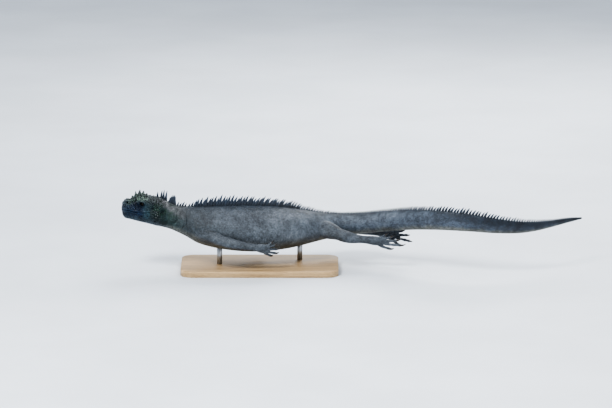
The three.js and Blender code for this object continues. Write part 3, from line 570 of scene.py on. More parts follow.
def toe_line(limb, foot, digit, steps=20):
    """The arched line of a toe's bones, from inside the palm to its tip."""
    start, ahead, back, spread = foot
    length, turn, root = digit
    turn = math.radians(turn)
    way = ahead * math.cos(turn) + spread * math.sin(turn)
    palm_length, palm_width, _ = limb["palm"]
    knuckle = start + ahead * palm_length * 0.86 + spread * root * palm_width * 0.8
    t = np.linspace(0, 1, steps + 1)[:, None]
    arch = 1.6 * np.sin(np.pi * t) - 2.2 * t * t
    return knuckle + way * (-7 + (length + 7) * t) + back * arch


def toe_girth(limb, digit, share):
    """The radius along a toe, swelling at each joint."""
    joints = max(2, round(digit[0] / 11))
    swell = 1 + 0.09 * np.cos(2 * np.pi * joints * share)
    return limb["toe"] * (1 - 0.2 * share) * swell - SKIN_DEPTH * 0.8


def palm_rings(limb, foot):
    """The outlines of a palm, from the wrist to the knuckles."""
    start, ahead, back, spread = foot
    length, width, thickness = limb["palm"]
    wrist = limb["girth"][-1][1]
    t = np.linspace(0, 1, 13)
    half = wrist + (width - wrist) * ramp(t, 0, 0.7) - width * 0.18 * ramp(t, 0.75, 1) - SKIN_DEPTH
    up = wrist * LIMB_FLATNESS + (thickness - wrist) * ramp(t, 0, 0.8) - SKIN_DEPTH
    turn = ring_angles(32, 0.5)
    centre = start + ahead * (t * (length + 3) - 3)[:, None]
    return (centre[:, None] + spread * (np.cos(turn)[None, :] * half[:, None])[..., None]
            + back * (np.sin(turn)[None, :] * up[:, None])[..., None])


def limb_skin(limb, side):
    """One leg from inside the trunk to its toes, fused and softened."""
    line, _, share = limb_line(limb, side)
    girth = along(limb["girth"], share) - SKIN_DEPTH
    foot = foot_frame(limb, side)
    parts = [tube(line, girth, 32, UP, LIMB_FLATNESS), loft(palm_rings(limb, foot))]
    for digit in limb["digits"]:
        toe = toe_line(limb, foot, digit)
        t = np.linspace(0, 1, len(toe))
        parts.append(tube(toe, toe_girth(limb, digit, t), 16, foot[2], 0.92))
    starts = np.cumsum([0] + [len(points) for points, _ in parts[:-1]])
    faces = np.concatenate([faces + start for (_, faces), start in zip(parts, starts)])
    piece = mesh_object("limb", np.concatenate([points for points, _ in parts]), faces)
    remesh = piece.modifiers.new("fuse", "REMESH")
    remesh.mode = "VOXEL"
    remesh.voxel_size = 1.25 * MM
    soften = piece.modifiers.new("soften", "SMOOTH")
    soften.factor = 0.5
    soften.iterations = 4
    return baked(piece)


def soften_seams(piece, known, reach, rounds):
    """Rounds off the creases that a join has left: points that weren't there before it."""
    points = mesh_points(piece)
    keys = set(map(tuple, np.round(known, 2)))
    new = np.array([tuple(p) not in keys for p in np.round(points, 2)])
    if not new.any():
        return
    seam = points[new]
    low, high = seam.min(0) - reach, seam.max(0) + reach
    near = np.flatnonzero(((points > low) & (points < high)).all(1))
    far = np.full(len(points), np.inf)
    for first in range(0, len(near), BATCH):
        some = near[first:first + BATCH]
        far[some] = np.sqrt(((points[some, None] - seam[None]) ** 2).sum(-1)).min(1)
    moved = far < reach
    edges = rows_of(piece.data.edges, "vertices", 2, np.int32)
    edges = edges[moved[edges].any(1)]
    count = np.bincount(edges.ravel(), minlength=len(points))[moved, None]
    weight = (1 - ramp(far[moved], reach * 0.3, reach))[:, None] * 0.6
    for _ in range(rounds):
        total = np.stack([
            np.bincount(edges[:, 0], points[edges[:, 1], axis], len(points))
            + np.bincount(edges[:, 1], points[edges[:, 0], axis], len(points)) for axis in range(3)], 1)
        points[moved] += (total[moved] / count - points[moved]) * weight
    piece.data.vertices.foreach_set("co", (points * MM).ravel())
    piece.data.update()


def eye_centre(side):
    return place(EYE[0], side * EYE[1], EYE[2])


def ball(name, centre, radius, across=48, down=32):
    bpy.ops.mesh.primitive_uv_sphere_add(
        radius=radius * MM, segments=across, ring_count=down, location=Vector(centre * MM))
    piece = bpy.context.object
    piece.name = name
    piece.data.transform(piece.matrix_world)
    piece.matrix_world.identity()
    return piece


def lid_opening(side):
    """The almond between the lids, as a prism that runs out of the head."""
    along_it, up_it = lid_outline(LID_REACH, LID_RISE).T
    rings = [place(EYE[0] + along_it, side * (EYE[1] + away), EYE[2] + up_it) for away in (2.0, 6.0, 14.0)]
    return mesh_object("opening", *loft(rings))


def nostril_line(side):
    """From inside the snout to the mouth of the nostril."""
    root = place(NOSTRIL[0] + 1.4, side * (NOSTRIL[1] - 4), NOSTRIL[2] - 2.4)
    mouth = place(NOSTRIL[0] - 0.6, side * (NOSTRIL[1] + 2.0), NOSTRIL[2] + 1.2)
    return root, mouth


def nostril_opening(side):
    """The hollow of a nostril, as a widening tube that runs out of the snout."""
    root, mouth = nostril_line(side)
    way = unit(mouth - root)
    line = [root - way * 1.5, root + way * 1.0, root + way * 4, mouth + way * 0.6, mouth + way * 6]
    radii = np.array([0.3, 0.75, 0.95, 1.05, 1.5]) * NOSTRIL_RADIUS
    return mesh_object("nostril", *tube(line, radii, 24, UP))


def whole_skin():
    """The skin in one piece: the legs joined on, and the eyes, lids and nostrils cut out."""
    skin = body_skin()
    for limb in (FORE, HIND):
        for side in (-1, 1):
            leg = limb_skin(limb, side)
            known = np.concatenate([mesh_points(skin), mesh_points(leg)])
            cut_or_join(skin, leg, "UNION")
            soften_seams(skin, known, 9, 14)
    for side in (-1, 1):
        socket = ball("socket", eye_centre(side), EYE_RADIUS + GAP)
        for hollow in (socket, lid_opening(side), nostril_opening(side)):
            cut_or_join(skin, hollow, "DIFFERENCE")
    shade_smooth(skin)
    return skin


# Finishes

def paint(red, green, blue):
    """A colour named by its screen values, 0 to 255, as the light that it reflects."""
    part = np.array([red, green, blue]) / 255
    light = np.where(part <= 0.04045, part / 12.92, ((part + 0.055) / 1.055) ** 2.4)
    return (*light.tolist(), 1.0)


class Workshop:
    """Adds nodes to one node tree and wires them up."""

    def __init__(self, tree):
        self.tree = tree

    def feed(self, made, inputs):
        """Wires or sets the inputs of a node, each by its name or its number."""
        for name, value in inputs.items():
            if isinstance(value, bpy.types.NodeSocket):
                self.tree.links.new(value, made.inputs[name])
            else:
                made.inputs[name].default_value = value

    def node(self, kind, inputs=None, **settings):
        made = self.tree.nodes.new(kind)
        for name, value in settings.items():
            setattr(made, name, value)
        self.feed(made, inputs or {})
        return made

    def attribute(self, name, kind="Fac"):
        return self.node("ShaderNodeAttribute", attribute_name=name).outputs[kind]

    def math(self, operation, *values, clamp=False):
        return self.node("ShaderNodeMath", dict(enumerate(values)), operation=operation,
                         use_clamp=clamp).outputs[0]

    def times(self, first, second):
        return self.math("MULTIPLY", first, second)

    def scaled(self, value, by, plus):
        return self.math("MULTIPLY_ADD", value, by, plus)

    def rise(self, value, low, high, start=0.0, end=1.0):
        """value taken from the range low to high into start to end, softly."""
        inputs = {"Value": value, "From Min": low, "From Max": high, "To Min": start, "To Max": end}
        return self.node("ShaderNodeMapRange", inputs, interpolation_type="SMOOTHSTEP").outputs["Result"]

    def noise(self, vector, scale, detail=4.0, roughness=0.55):
        inputs = {"Vector": vector, "Scale": scale, "Detail": detail, "Roughness": roughness}
        return self.node("ShaderNodeTexNoise", inputs).outputs["Fac"]

    def stretched(self, vector, *scale):
        return self.node("ShaderNodeMapping", {"Vector": vector, "Scale": scale}).outputs[0]

    def mix(self, factor, first, second, blend="MIX"):
        return self.node("ShaderNodeMix", {0: factor, 6: first, 7: second}, data_type="RGBA",
                         blend_type=blend, clamp_factor=True).outputs[2]

    def tint(self, colour, factor):
        """A colour made darker or paler."""
        return self.mix(1.0, colour, factor, "MULTIPLY")

    def toned(self, colour):
        """A colour made darker or paler by the tone that each scale or spine has been given."""
        return self.tint(colour, self.scaled(self.attribute("tone"), 0.5, 0.75))

    def ramp(self, value, stops, whole=1.0):
        """The colours of a stripe. Each stop is a place out of the whole and a painted colour."""
        made = self.node("ShaderNodeValToRGB", {"Fac": value})
        stripe = made.color_ramp.elements
        while len(stripe) < len(stops):
            stripe.new(0.5)
        for element, (where, *colour) in zip(stripe, stops):
            element.position = where / whole
            element.color = paint(*colour)
        return made.outputs["Color"]

    def bump(self, height, strength, depth):
        inputs = {"Height": height, "Strength": strength, "Distance": depth * MM}
        return self.node("ShaderNodeBump", inputs).outputs["Normal"]


def new_finish(name):
    """A material, its workshop, its shader and the spot on the piece that is being painted."""
    finish = bpy.data.materials.new(name)
    finish.use_nodes = True
    finish.node_tree.nodes.clear()
    shop = Workshop(finish.node_tree)
    shader = shop.node("ShaderNodeBsdfPrincipled")
    shop.node("ShaderNodeOutputMaterial", {"Surface": shader.outputs["BSDF"]})
    return finish, shop, shader, shop.node("ShaderNodeTexCoord").outputs["Object"]


def share(station):
    return station / TOTAL_LENGTH


# Colours along the back and along the flank: station, red, green and blue
BACK_COLOURS = (
    (0, 60, 68, 76), (14, 58, 72, 74), (36, 86, 97, 94), (52, 74, 81, 81), (80, 99, 99, 102),
    (104, 84, 87, 89), (128, 60, 66, 71), (200, 72, 78, 85), (250, 78, 84, 91), (290, 94, 100, 107),
    (340, 84, 91, 98), (430, 70, 78, 87), (530, 96, 104, 114), (610, 76, 85, 96), (670, 34, 44, 56),
    (740, 34, 44, 56), (960, 38, 45, 54),
)
FLANK_COLOURS = (
    (0, 60, 68, 78), (9, 20, 37, 53), (24, 15, 31, 49), (38, 12, 28, 46), (47, 46, 67, 76),
    (56, 24, 43, 48), (66, 9, 26, 28), (95, 34, 53, 53), (128, 54, 62, 67), (220, 74, 81, 88),
    (290, 88, 95, 102), (430, 68, 76, 85), (530, 80, 89, 100), (640, 66, 75, 87), (720, 62, 71, 83),
    (780, 50, 58, 69), (960, 42, 49, 58),
)
RIDGE_COLOUR = paint(54, 62, 70)
BELLY_COLOUR = paint(92, 93, 88)
CHIN_COLOUR = paint(50, 62, 70)
LIMB_COLOUR = paint(74, 80, 86)
ALGAE_COLOUR = paint(32, 56, 42)
PALE_ALGAE_COLOUR = paint(122, 141, 127)
TIP_COLOUR = paint(50, 46, 56)
# How far the painted shade in the gaps between scales darkens the colour
PAINTED_GAP_SHADE = 0.34
WET_ROUGHNESS = 0.34


def hide_finish():
    """Scaly hide: its markings lie along the body, and each scale is paler at its top because painted shade
    darkens it towards its sunk root and in the gaps between the scales.
    """
    finish, shop, shader, spot = new_finish("scaly hide")
    mark = shop.node("ShaderNodeSeparateXYZ", {0: shop.attribute("mark", "Vector")}).outputs
    station, level, limb = mark["X"], mark["Y"], mark["Z"]

    def between(first, last, *ends):
        return shop.rise(station, share(first), share(last), *ends)

    def mottle(scale, detail, *reach):
        return shop.rise(shop.noise(spot, scale, detail), *reach)

    height = shop.math("ADD", level, shop.scaled(shop.noise(spot, 45.0), 0.36, -0.18))
    on_head = between(104, 70)
    border = shop.math("ADD", shop.scaled(on_head, -0.2, height), between(590, 670, 0.0, 0.14))
    flank = shop.ramp(station, FLANK_COLOURS, TOTAL_LENGTH)
    colour = shop.mix(shop.rise(border, 0.54, 0.8), flank, shop.ramp(station, BACK_COLOURS, TOTAL_LENGTH))
    under = shop.mix(on_head, BELLY_COLOUR, CHIN_COLOUR)
    colour = shop.mix(shop.rise(height, 0.34, 0.06), colour, under)
    colour = shop.mix(shop.times(limb, 0.85), colour, LIMB_COLOUR)
    ridge = shop.times(shop.rise(height, 0.88, 1.0), between(105, 135))
    colour = shop.mix(shop.times(ridge, 0.8), colour, RIDGE_COLOUR)
    colour = shop.tint(colour, mottle(26.0, 4.0, 0.4, 0.62, 0.8, 1.14))
    blotch = mottle(95.0, 5.0, 0.32, 0.68, 0.76, 1.22)
    colour = shop.tint(colour, shop.times(blotch, mottle(620.0, 3.0, 0.25, 0.75, 0.8, 1.2)))
    nape = shop.times(between(112, 94), between(50, 64))
    growth = shop.rise(shop.noise(spot, 150.0, 5.0, 0.62), 0.42, 0.62)
    growth = shop.times(growth, shop.rise(level, 0.3, 0.6, 0.0, 0.6))
    colour = shop.mix(shop.times(nape, growth), colour, ALGAE_COLOUR)
    brow = shop.times(between(56, 42), shop.rise(level, 0.8, 0.88))
    brow = shop.times(brow, between(8, 17, 0.15, 1.0))
    film = shop.times(mottle(230.0, 4.0, 0.44, 0.6), 0.75)
    colour = shop.mix(shop.times(brow, film), colour, PALE_ALGAE_COLOUR)
    scale_top = shop.attribute("rise")
    worn = shop.times(shop.attribute("tip"), shop.rise(scale_top, 0.3, 0.8))
    colour = shop.toned(shop.mix(shop.times(worn, 0.85), colour, TIP_COLOUR))
    # Painted shade: darkens each scale towards its sunk root, and the bare skin in the gaps between scales,
    # where shade falls
    colour = shop.tint(colour, shop.rise(scale_top, 0.05, 0.6, PAINTED_GAP_SHADE, 1.0))
    shown = shop.rise(scale_top, 0.12, 0.4)
    damp = mottle(70.0, 3.0, 0.35, 0.65, WET_ROUGHNESS, WET_ROUGHNESS + 0.2)
    gloss = shop.scaled(on_head, -0.35, 1.0)
    shop.feed(shader, {
        "Base Color": colour,
        "Roughness": shop.math("ADD", damp, shop.scaled(shown, -0.55, 0.55), clamp=True),
        "Specular IOR Level": shop.times(shown, shop.times(gloss, 0.4)),
        "Coat Weight": shop.times(shown, shop.times(gloss, 0.16)),
        "Coat Roughness": 0.22,
        "Normal": shop.bump(shop.noise(spot, 1500.0, 3.0), 0.5, 0.12),
    })
    return finish


def spine_finish():
    """Horny spines: dark at the root, greyer and worn towards the tip."""
    finish, shop, shader, spot = new_finish("crest horn")
    streak = shop.noise(spot, 700.0, 3.0)
    colour = shop.ramp(shop.attribute("rise"), (
        (0.0, 24, 32, 40), (0.35, 32, 43, 56), (0.8, 42, 54, 70), (1.0, 66, 74, 86)))
    shop.feed(shader, {
        "Base Color": shop.toned(shop.tint(colour, shop.rise(streak, 0.25, 0.75, 0.7, 1.3))),
        "Roughness": shop.rise(streak, 0.3, 0.7, 0.34, 0.52),
        "Normal": shop.bump(streak, 0.4, 0.2), "Coat Weight": 0.15, "Coat Roughness": 0.25})
    return finish


def claw_finish():
    """Dark claws, paler and browner at the root."""
    finish, shop, shader, spot = new_finish("claw horn")
    grain = shop.noise(spot, 900.0, 3.0)
    colour = shop.ramp(shop.attribute("rise"), ((0.0, 58, 52, 46), (0.3, 34, 32, 32), (1.0, 22, 22, 24)))
    shop.feed(shader, {"Base Color": shop.tint(colour, shop.rise(grain, 0.25, 0.75, 0.75, 1.25)),
                       "Roughness": shop.rise(grain, 0.3, 0.7, 0.22, 0.38)})
    return finish


def eye_finish():
    """A dark iris with a thin golden ring round a black pupil, under a wet cornea."""
    finish, shop, shader, spot = new_finish("eye")
    turn = shop.attribute("gaze")
    fibre = shop.noise(spot, 1400.0, 4.0)
    colour = shop.ramp(shop.scaled(fibre, 0.05, shop.math("ADD", turn, -0.025)), (
        (0.0, 3, 3, 4), (0.135, 3, 3, 4), (0.142, 84, 70, 52), (0.155, 40, 32, 27), (0.22, 30, 25, 22),
        (0.3, 20, 18, 17), (0.36, 14, 13, 13), (1.0, 22, 19, 19)))
    shop.feed(shader, {"Base Color": shop.tint(colour, shop.rise(fibre, 0.3, 0.7, 0.7, 1.3)),
                       "Roughness": 0.06, "Specular IOR Level": 0.14})
    return finish


def wood_finish():
    """Pale oak, its grain along the base, under a satin varnish."""
    finish, shop, shader, spot = new_finish("oak")
    stretched = shop.stretched(spot, 5.0, 60.0, 60.0)
    figure = shop.noise(stretched, 2.2, 6.0, 0.6)
    pore = shop.noise(stretched, 22.0, 3.0, 0.5)
    colour = shop.ramp(figure, ((0.25, 150, 122, 88), (0.5, 176, 148, 110), (0.75, 196, 168, 130)))
    shop.feed(shader, {"Base Color": shop.tint(colour, shop.rise(pore, 0.3, 0.6, 0.82, 1.04)),
                       "Roughness": shop.rise(figure, 0.3, 0.7, 0.38, 0.5),
                       "Normal": shop.bump(pore, 0.25, 0.2)})
    return finish


def steel_finish():
    """Steel brushed along the rods."""
    finish, shop, shader, spot = new_finish("brushed steel")
    brushing = shop.noise(shop.stretched(spot, 60.0, 60.0, 2600.0), 3.0, 3.0)
    colour = shop.mix(shop.rise(brushing, 0.3, 0.7), paint(160, 162, 164), paint(170, 172, 174))
    shop.feed(shader, {"Base Color": colour, "Roughness": shop.rise(brushing, 0.3, 0.7, 0.28, 0.36),
                       "Metallic": 1.0})
    return finish


# The coat of scales

def form_of(name, rings, top):
    """A form for the coat, of unit height over its sunk root, from its rings and its top."""
    points, faces = loft(rings, end=top)
    piece = mesh_object(name, points / MM, faces)
    set_attributes(piece, rise=np.clip(points[:, 2], 0, 1), local=points * [1, 1, 0])
    return piece


def scale_form(name, levels, sides, lean=0.0, keel=0.0, turn=0.0):
    """One scale of unit length along X and unit width along Y. levels are its outlines from the
    sunk root up, each a height and a radius; lean draws the top backwards."""
    angle = ring_angles(sides, turn)
    rings = []
    for height, radius in levels:
        x = np.cos(angle) * radius * 0.5 + lean * max(height, 0) ** 1.5
        z = height + keel * max(height, 0) * (1 - np.abs(np.sin(angle)))
        rings.append(np.stack([x, np.sin(angle) * radius * 0.5, z], 1))
    return form_of(name, rings, [lean, 0, 1.0])


GRANULE = scale_form("granule", ((-0.5, 1.0), (0.35, 0.86), (0.85, 0.45)), 6, lean=0.05)
KEELED = scale_form("keeled", ((-0.5, 1.06), (0.3, 0.92), (0.72, 0.5)), 6, lean=0.22, keel=0.3)
PLATE = scale_form("plate", ((-0.5, 1.05), (0.45, 1.0), (0.85, 0.74)), 8, turn=0.5)
PYRAMID = scale_form(
    "pyramid", ((-0.3, 1.1), (0.02, 1.0), (0.25, 0.78), (0.55, 0.46), (0.82, 0.2)), 8, lean=0.14)


def coat_tree():
    """Sets one scale on each root, turned to the skin and the lie of the coat."""
    tree = bpy.data.node_groups.new("scales on skin", "GeometryNodeTree")
    for name, way, kind in (("Roots", "INPUT", "Geometry"), ("Scale form", "INPUT", "Object"),
                            ("Finish", "INPUT", "Material"), ("Coat", "OUTPUT", "Geometry")):
        tree.interface.new_socket(name, in_out=way, socket_type=f"NodeSocket{kind}")
    shop = Workshop(tree)
    given = shop.node("NodeGroupInput").outputs

    def stored(name):
        return shop.node("GeometryNodeInputNamedAttribute", {"Name": name},
                         data_type="FLOAT_VECTOR").outputs["Attribute"]

    turn = shop.node("FunctionNodeAxesToRotation", {0: stored("normal"), 1: stored("lie")},
                     primary_axis="Z", secondary_axis="X")
    form = shop.node("GeometryNodeObjectInfo", {"Object": given["Scale form"]})
    grown = shop.node("GeometryNodeInstanceOnPoints", {
        "Points": given["Roots"], "Instance": form.outputs["Geometry"],
        "Rotation": turn.outputs["Rotation"], "Scale": stored("size")})
    real = shop.node("GeometryNodeRealizeInstances", {"Geometry": grown.outputs["Instances"]})
    painted = shop.node("GeometryNodeSetMaterial", {
        "Geometry": real.outputs["Geometry"], "Material": given["Finish"]})
    shop.node("NodeGroupOutput", {"Coat": painted.outputs["Geometry"]})
    return tree


COAT_TREE = coat_tree()
UV_PATCH = 0.003
LEAST_FACING = 0.25


def socket_of(tree, name):
    return next(i.identifier for i in tree.interface.items_tree if i.name == name and i.in_out == "INPUT")


def grow(name, roots, form, finish):
    """A coat piece: one scale or spine of a form on each root, as a plain mesh."""
    piece = mesh_object(name, roots["points"], [])
    values = {key: roots[key] for key in ("normal", "lie", "root", "mark", "tone")}
    set_attributes(piece, size=roots["size"] * MM, **values)
    change = piece.modifiers.new("grow", "NODES")
    change.node_group = COAT_TREE
    change[socket_of(COAT_TREE, "Scale form")] = form
    change[socket_of(COAT_TREE, "Finish")] = finish
    mesh = baked(piece).data
    root, local = (rows_of(mesh.attributes[key].data, "vector") for key in ("root", "local"))
    spots = root[:, :2] + local[:, :2] * UV_PATCH
    corner = rows_of(mesh.loops, "vertex_index", 1, np.int32)[:, 0]
    layer = mesh.uv_layers.new(name="OFBake")
    layer.data.foreach_set("uv", spots[corner].astype(np.float32).ravel())
    for key in ("root", "local", "size", "normal", "lie"):
        if key in mesh.attributes:
            mesh.attributes.remove(mesh.attributes[key])
    shade_smooth(piece)
    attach(piece, "root")
    return piece


class SkinMap:
    """Answers where the skin lies nearest to a point, and which way it faces there."""

    def __init__(self, piece):
        piece.data.calc_loop_triangles()
        self.points = mesh_points(piece)
        self.faces = rows_of(piece.data.loop_triangles, "vertices", 3, np.int32)
        self.tree = BVHTree.FromPolygons(self.points.tolist(), self.faces.tolist())

    def settle(self, points, facing, reach):
        """The nearest spots of the skin, its normals there, and which points are near enough to it
        and face the same way."""
        spots = np.zeros_like(points)
        normals = np.zeros_like(points)
        kept = np.zeros(len(points), bool)
        for i, point in enumerate(points):
            spot, normal, _, _ = self.tree.find_nearest(point, reach)
            if spot is not None:
                spots[i] = spot
                normals[i] = normal
                kept[i] = normals[i] @ facing[i] > LEAST_FACING
        return spots, normals, kept


def root_rows(points, normal, lie, size, station, level, limb, tone, unwrap):
    """What grow needs to know of each root, by name."""
    zero = np.zeros(len(points))
    return {"points": points, "normal": normal, "lie": lie + zero[:, None], "size": size, "tone": tone,
            "mark": np.stack([station / TOTAL_LENGTH, level + zero, limb + zero], 1),
            "root": np.column_stack([unwrap, zero])}


def settled(skin_map, points, facing, lie, size, station, level, unwrap, draw, reach):
    """Rows of roots that lie on the skin, without those that find none within reach."""
    spots, normals, kept = skin_map.settle(points, facing, reach)
    tone = dice(draw).random(len(points))
    normal = unit(normals * 0.5 + facing * 0.5)
    return chosen(root_rows(spots, normal, lie, size, station, level, 0, tone, unwrap), kept)


def joined(parts):
    return {key: np.concatenate([p[key] for p in parts]) for key in parts[0]}


def chosen(roots, keep):
    return {key: value[keep] for key, value in roots.items()}


# Scales by where they grow: station, their length and width, and how high they stand
GRAIN = np.array([
    [84, 2.3, 2.3, 0.95], [120, 2.3, 2.3, 0.9], [180, 2.5, 2.5, 0.8], [300, 2.6, 2.6, 0.8],
    [420, 2.9, 2.5, 0.8], [560, 3.5, 2.3, 0.75], [760, 3.4, 2.0, 0.65], [960, 2.4, 1.2, 0.3],
])
UNWRAP_TRUNK = 0.98 / 340
UNWRAP_TAIL = 0.98 / 560
UNWRAP_HEAD = 0.0095
ROW_PITCH = 0.87
ROW_CHANGE = 0.06
ROW_JITTER = 0.16
# How much longer and wider a scale is than its place, so that it overlaps the next
BODY_OVERLAP = (1.45, 1.42)
LIMB_OVERLAP = (1.56, 1.44)
HEAD_OVERLAP = (1.36, 1.32)


def dice(draw):
    """Random numbers that are the same in every run."""
    return np.random.default_rng(SEEDS[draw])


def body_rows(first, last):
    """Rows of roots round the body, each row half a scale on from the one before. The number of
    scales in a row holds until the girth has changed by a small share."""
    random = dice("rows")
    angle = np.linspace(-np.pi / 2, 1.5 * np.pi, 721)
    rows = []
    station = first
    number = 1
    while station < last:
        length, width = along(GRAIN, station, 1), along(GRAIN, station, 2)
        out, height = section_points(np.full(angle.shape, station), angle)
        arc = arc_of(out, height)
        wanted = arc[-1] / width
        if abs(number / wanted - 1) > ROW_CHANGE:
            number = max(6, round(wanted))
        marks = (np.arange(number) + 0.5 * (len(rows) % 2)) / number
        marks = marks + ROW_JITTER * (random.random(number) - 0.5) / number
        turn = 2 * np.pi * marks
        drift = 1.5 * np.sin(2 * turn + 0.7) + 0.9 * np.sin(5 * turn + station * 0.03)
        drift = drift * ramp(station, first + 2, first + 26)
        marks = (marks % 1) * arc[-1]
        spots = station + drift + length * ROW_JITTER * (random.random(number) - 0.5)
        rows.append(np.stack([np.minimum(spots, last), np.interp(marks, arc, out),
                              np.interp(marks, arc, height), marks, np.full(number, length),
                              np.full(number, arc[-1] / number)], 1))
        station += length * ROW_PITCH
    return np.concatenate(rows)


def facing_of(station, out, height):
    """The outward direction of the plain body at points on it."""
    half, top, belly, widest, _, _ = section_at(station)
    reach = np.where(height > widest, top - widest, widest - belly)
    across = np.sign(out) * np.abs(out / half) ** 1.1 / half
    over = np.sign(height - widest) * np.abs((height - widest) / reach) ** 1.1 / reach
    turn = turn_at(station)
    return unit(np.stack([-np.sin(turn) * across, np.cos(turn) * across, over], 1))


def body_roots(skin_map, first, last):
    """The overlapping scales of the trunk and the tail."""
    rows = body_rows(first, last)
    station, out, height, arc, length, width = rows.T
    level = level_of(station, height)
    spread = 0.92 + 0.18 * dice("row size").random((len(rows), 3))
    stand = along(GRAIN, station, 3) * (0.62 + 0.55 * np.clip(level, 0, 1))
    size = np.stack([length * BODY_OVERLAP[0], width * BODY_OVERLAP[1], stand], 1) * spread
    points = place(station, out, height)
    lie = place(station + 0.5, out, height) - points
    on_tail = station >= SNOUT_TO_VENT
    far = station - np.where(on_tail, SNOUT_TO_VENT, first)
    unwrap = np.stack([far + 6, arc + 6], 1) * np.where(on_tail, UNWRAP_TAIL, UNWRAP_TRUNK)[:, None]
    return settled(skin_map, points, facing_of(station, out, height), lie, size, station, level,
                   unwrap, "row tone", 2.2)


def surface_points(skin_map, keep, count, seed):
    """Many points spread evenly over the kept faces of the skin: where each is, which way the skin
    faces there, which face it is on and how much each corner of the face weighs."""
    faces = np.flatnonzero(keep)
    corners = skin_map.points[skin_map.faces[faces]]
    across = np.cross(corners[:, 1] - corners[:, 0], corners[:, 2] - corners[:, 0])
    area = np.linalg.norm(across, axis=1) / 2
    random = np.random.default_rng(seed)
    pick = random.choice(len(area), count, p=area / area.sum())
    u, v = np.sqrt(random.random(count)), random.random(count)
    weight = np.stack([1 - u, u * (1 - v), u * v], 1)
    points = (corners[pick] * weight[..., None]).sum(1)
    return points, unit(across[pick]), faces[pick], weight


SLAB = 8.0


def scatter(points, steps, taken, seed):
    """Picks points that keep their own steps apart, and apart from those already taken. It works
    through slabs across the X axis."""
    spots = np.concatenate([taken[0], np.zeros_like(points)])
    sizes = np.concatenate([taken[1], np.zeros(len(points))])
    used = len(taken[0])
    reach = (max(sizes.max(), steps.max()) + steps.max()) / 2
    order = np.random.default_rng(seed).permutation(len(points))
    slab = np.floor(points[order, 0] / SLAB)
    picked = []
    for number in np.unique(slab):
        middle = (number + 0.5) * SLAB
        near = np.flatnonzero(np.abs(spots[:used, 0] - middle) < SLAB / 2 + reach)
        inside = order[slab == number]
        close = np.concatenate([spots[near], np.zeros((len(inside), 3))])
        wide = np.concatenate([sizes[near], np.zeros(len(inside))])
        count = len(near)
        for first in range(0, len(inside), BATCH):
            some = inside[first:first + BATCH]
            before = count
            a, b = points[some], close[:count]
            gap = (a ** 2).sum(1)[:, None] + (b ** 2).sum(1)[None] - 2 * a @ b.T
            some = some[(gap >= ((wide[:count][None] + steps[some][:, None]) / 2) ** 2).all(1)]
            for i in some:
                gap = ((close[before:count] - points[i]) ** 2).sum(1)
                if (gap < ((wide[before:count] + steps[i]) / 2) ** 2).any():
                    continue
                close[count] = points[i]
                wide[count] = steps[i]
                count += 1
                picked.append(i)
        new = count - len(near)
        spots[used:used + new] = close[len(near):count]
        sizes[used:used + new] = wide[len(near):count]
        used += new
    return np.array(picked, int)


def packed(points, steps, taken, seed):
    """Packs scales over the points: full ones first, then smaller ones in the gaps. Each grows or
    shrinks a little until it meets its neighbours. Returns which points and how wide."""
    taken_points, taken_steps = taken
    pick = scatter(points, steps, taken, seed)
    widths = steps[pick]
    for share_of_step in (0.64, 0.44):
        around = (np.concatenate([taken_points, points[pick]]),
                  np.concatenate([taken_steps, widths * 1.1]))
        fill = scatter(points, steps * share_of_step, around, seed + 1)
        if len(fill):
            pick = np.concatenate([pick, fill])
            widths = np.concatenate([widths, steps[fill] * share_of_step])
    first = len(taken_points)
    spots = np.concatenate([taken_points, points[pick]])
    radii = np.concatenate([taken_steps, widths]) / 2
    fitted = radii.copy()
    for _ in range(2):
        room = fitted.copy()
        for start in range(first, len(spots), BATCH):
            some = np.arange(start, min(start + BATCH, len(spots)))
            far = np.linalg.norm(spots[some, None] - spots[None], axis=2) - fitted[None]
            far[np.arange(len(some)), some] = np.inf
            room[some] = np.partition(far, 3, axis=1)[:, :4].mean(1)
        fitted = np.clip((fitted + room) / 2, radii * 0.85, radii * 1.35)
    return pick, fitted[first:] * 2


LIMB_POINTS = 36000
LEG_STEP = 2.35
PALM_STEP = 2.0
TOE_STEP = 1.5
TOE_SPREAD = 1.08
CLAW_ROOM = 1.6
LIMB_LEVEL = 0.6


def limb_bones(limb, side):
    """Points along the bones of a limb, ten numbers each: where, which way, which strip of the
    unwrap, how far along it, how far apart the scales stand there and how far off the bone the
    skin may lie."""
    rows = []

    def add(line, ways, *numbers):
        ways = np.broadcast_to(ways, line.shape)
        rows.append(np.column_stack([line, ways, *(np.broadcast_to(n, len(line)) for n in numbers)]))

    line, ways, shares = limb_line(limb, side, 100)
    girth = along(limb["girth"], shares)
    add(line, ways, 0, 0.02 + 0.44 * shares, LEG_STEP - 0.2 * shares, girth * 1.3 + 4)
    foot = foot_frame(limb, side)
    t = np.linspace(0, 1, 12)
    palm = foot[0] + foot[1] * (t * limb["palm"][0])[:, None]
    add(palm, foot[1], 0, 0.48 + 0.12 * t, PALM_STEP, limb["palm"][1] + 4)
    for strip, digit in enumerate(limb["digits"], 1):
        toe = toe_line(limb, foot, digit, 30)[5:]
        t = np.linspace(0, 1, len(toe))
        add(toe, unit(np.gradient(toe, axis=0)), strip, 0.62 + 0.34 * t, TOE_STEP, limb["toe"] + 2.5)
    return np.concatenate(rows)


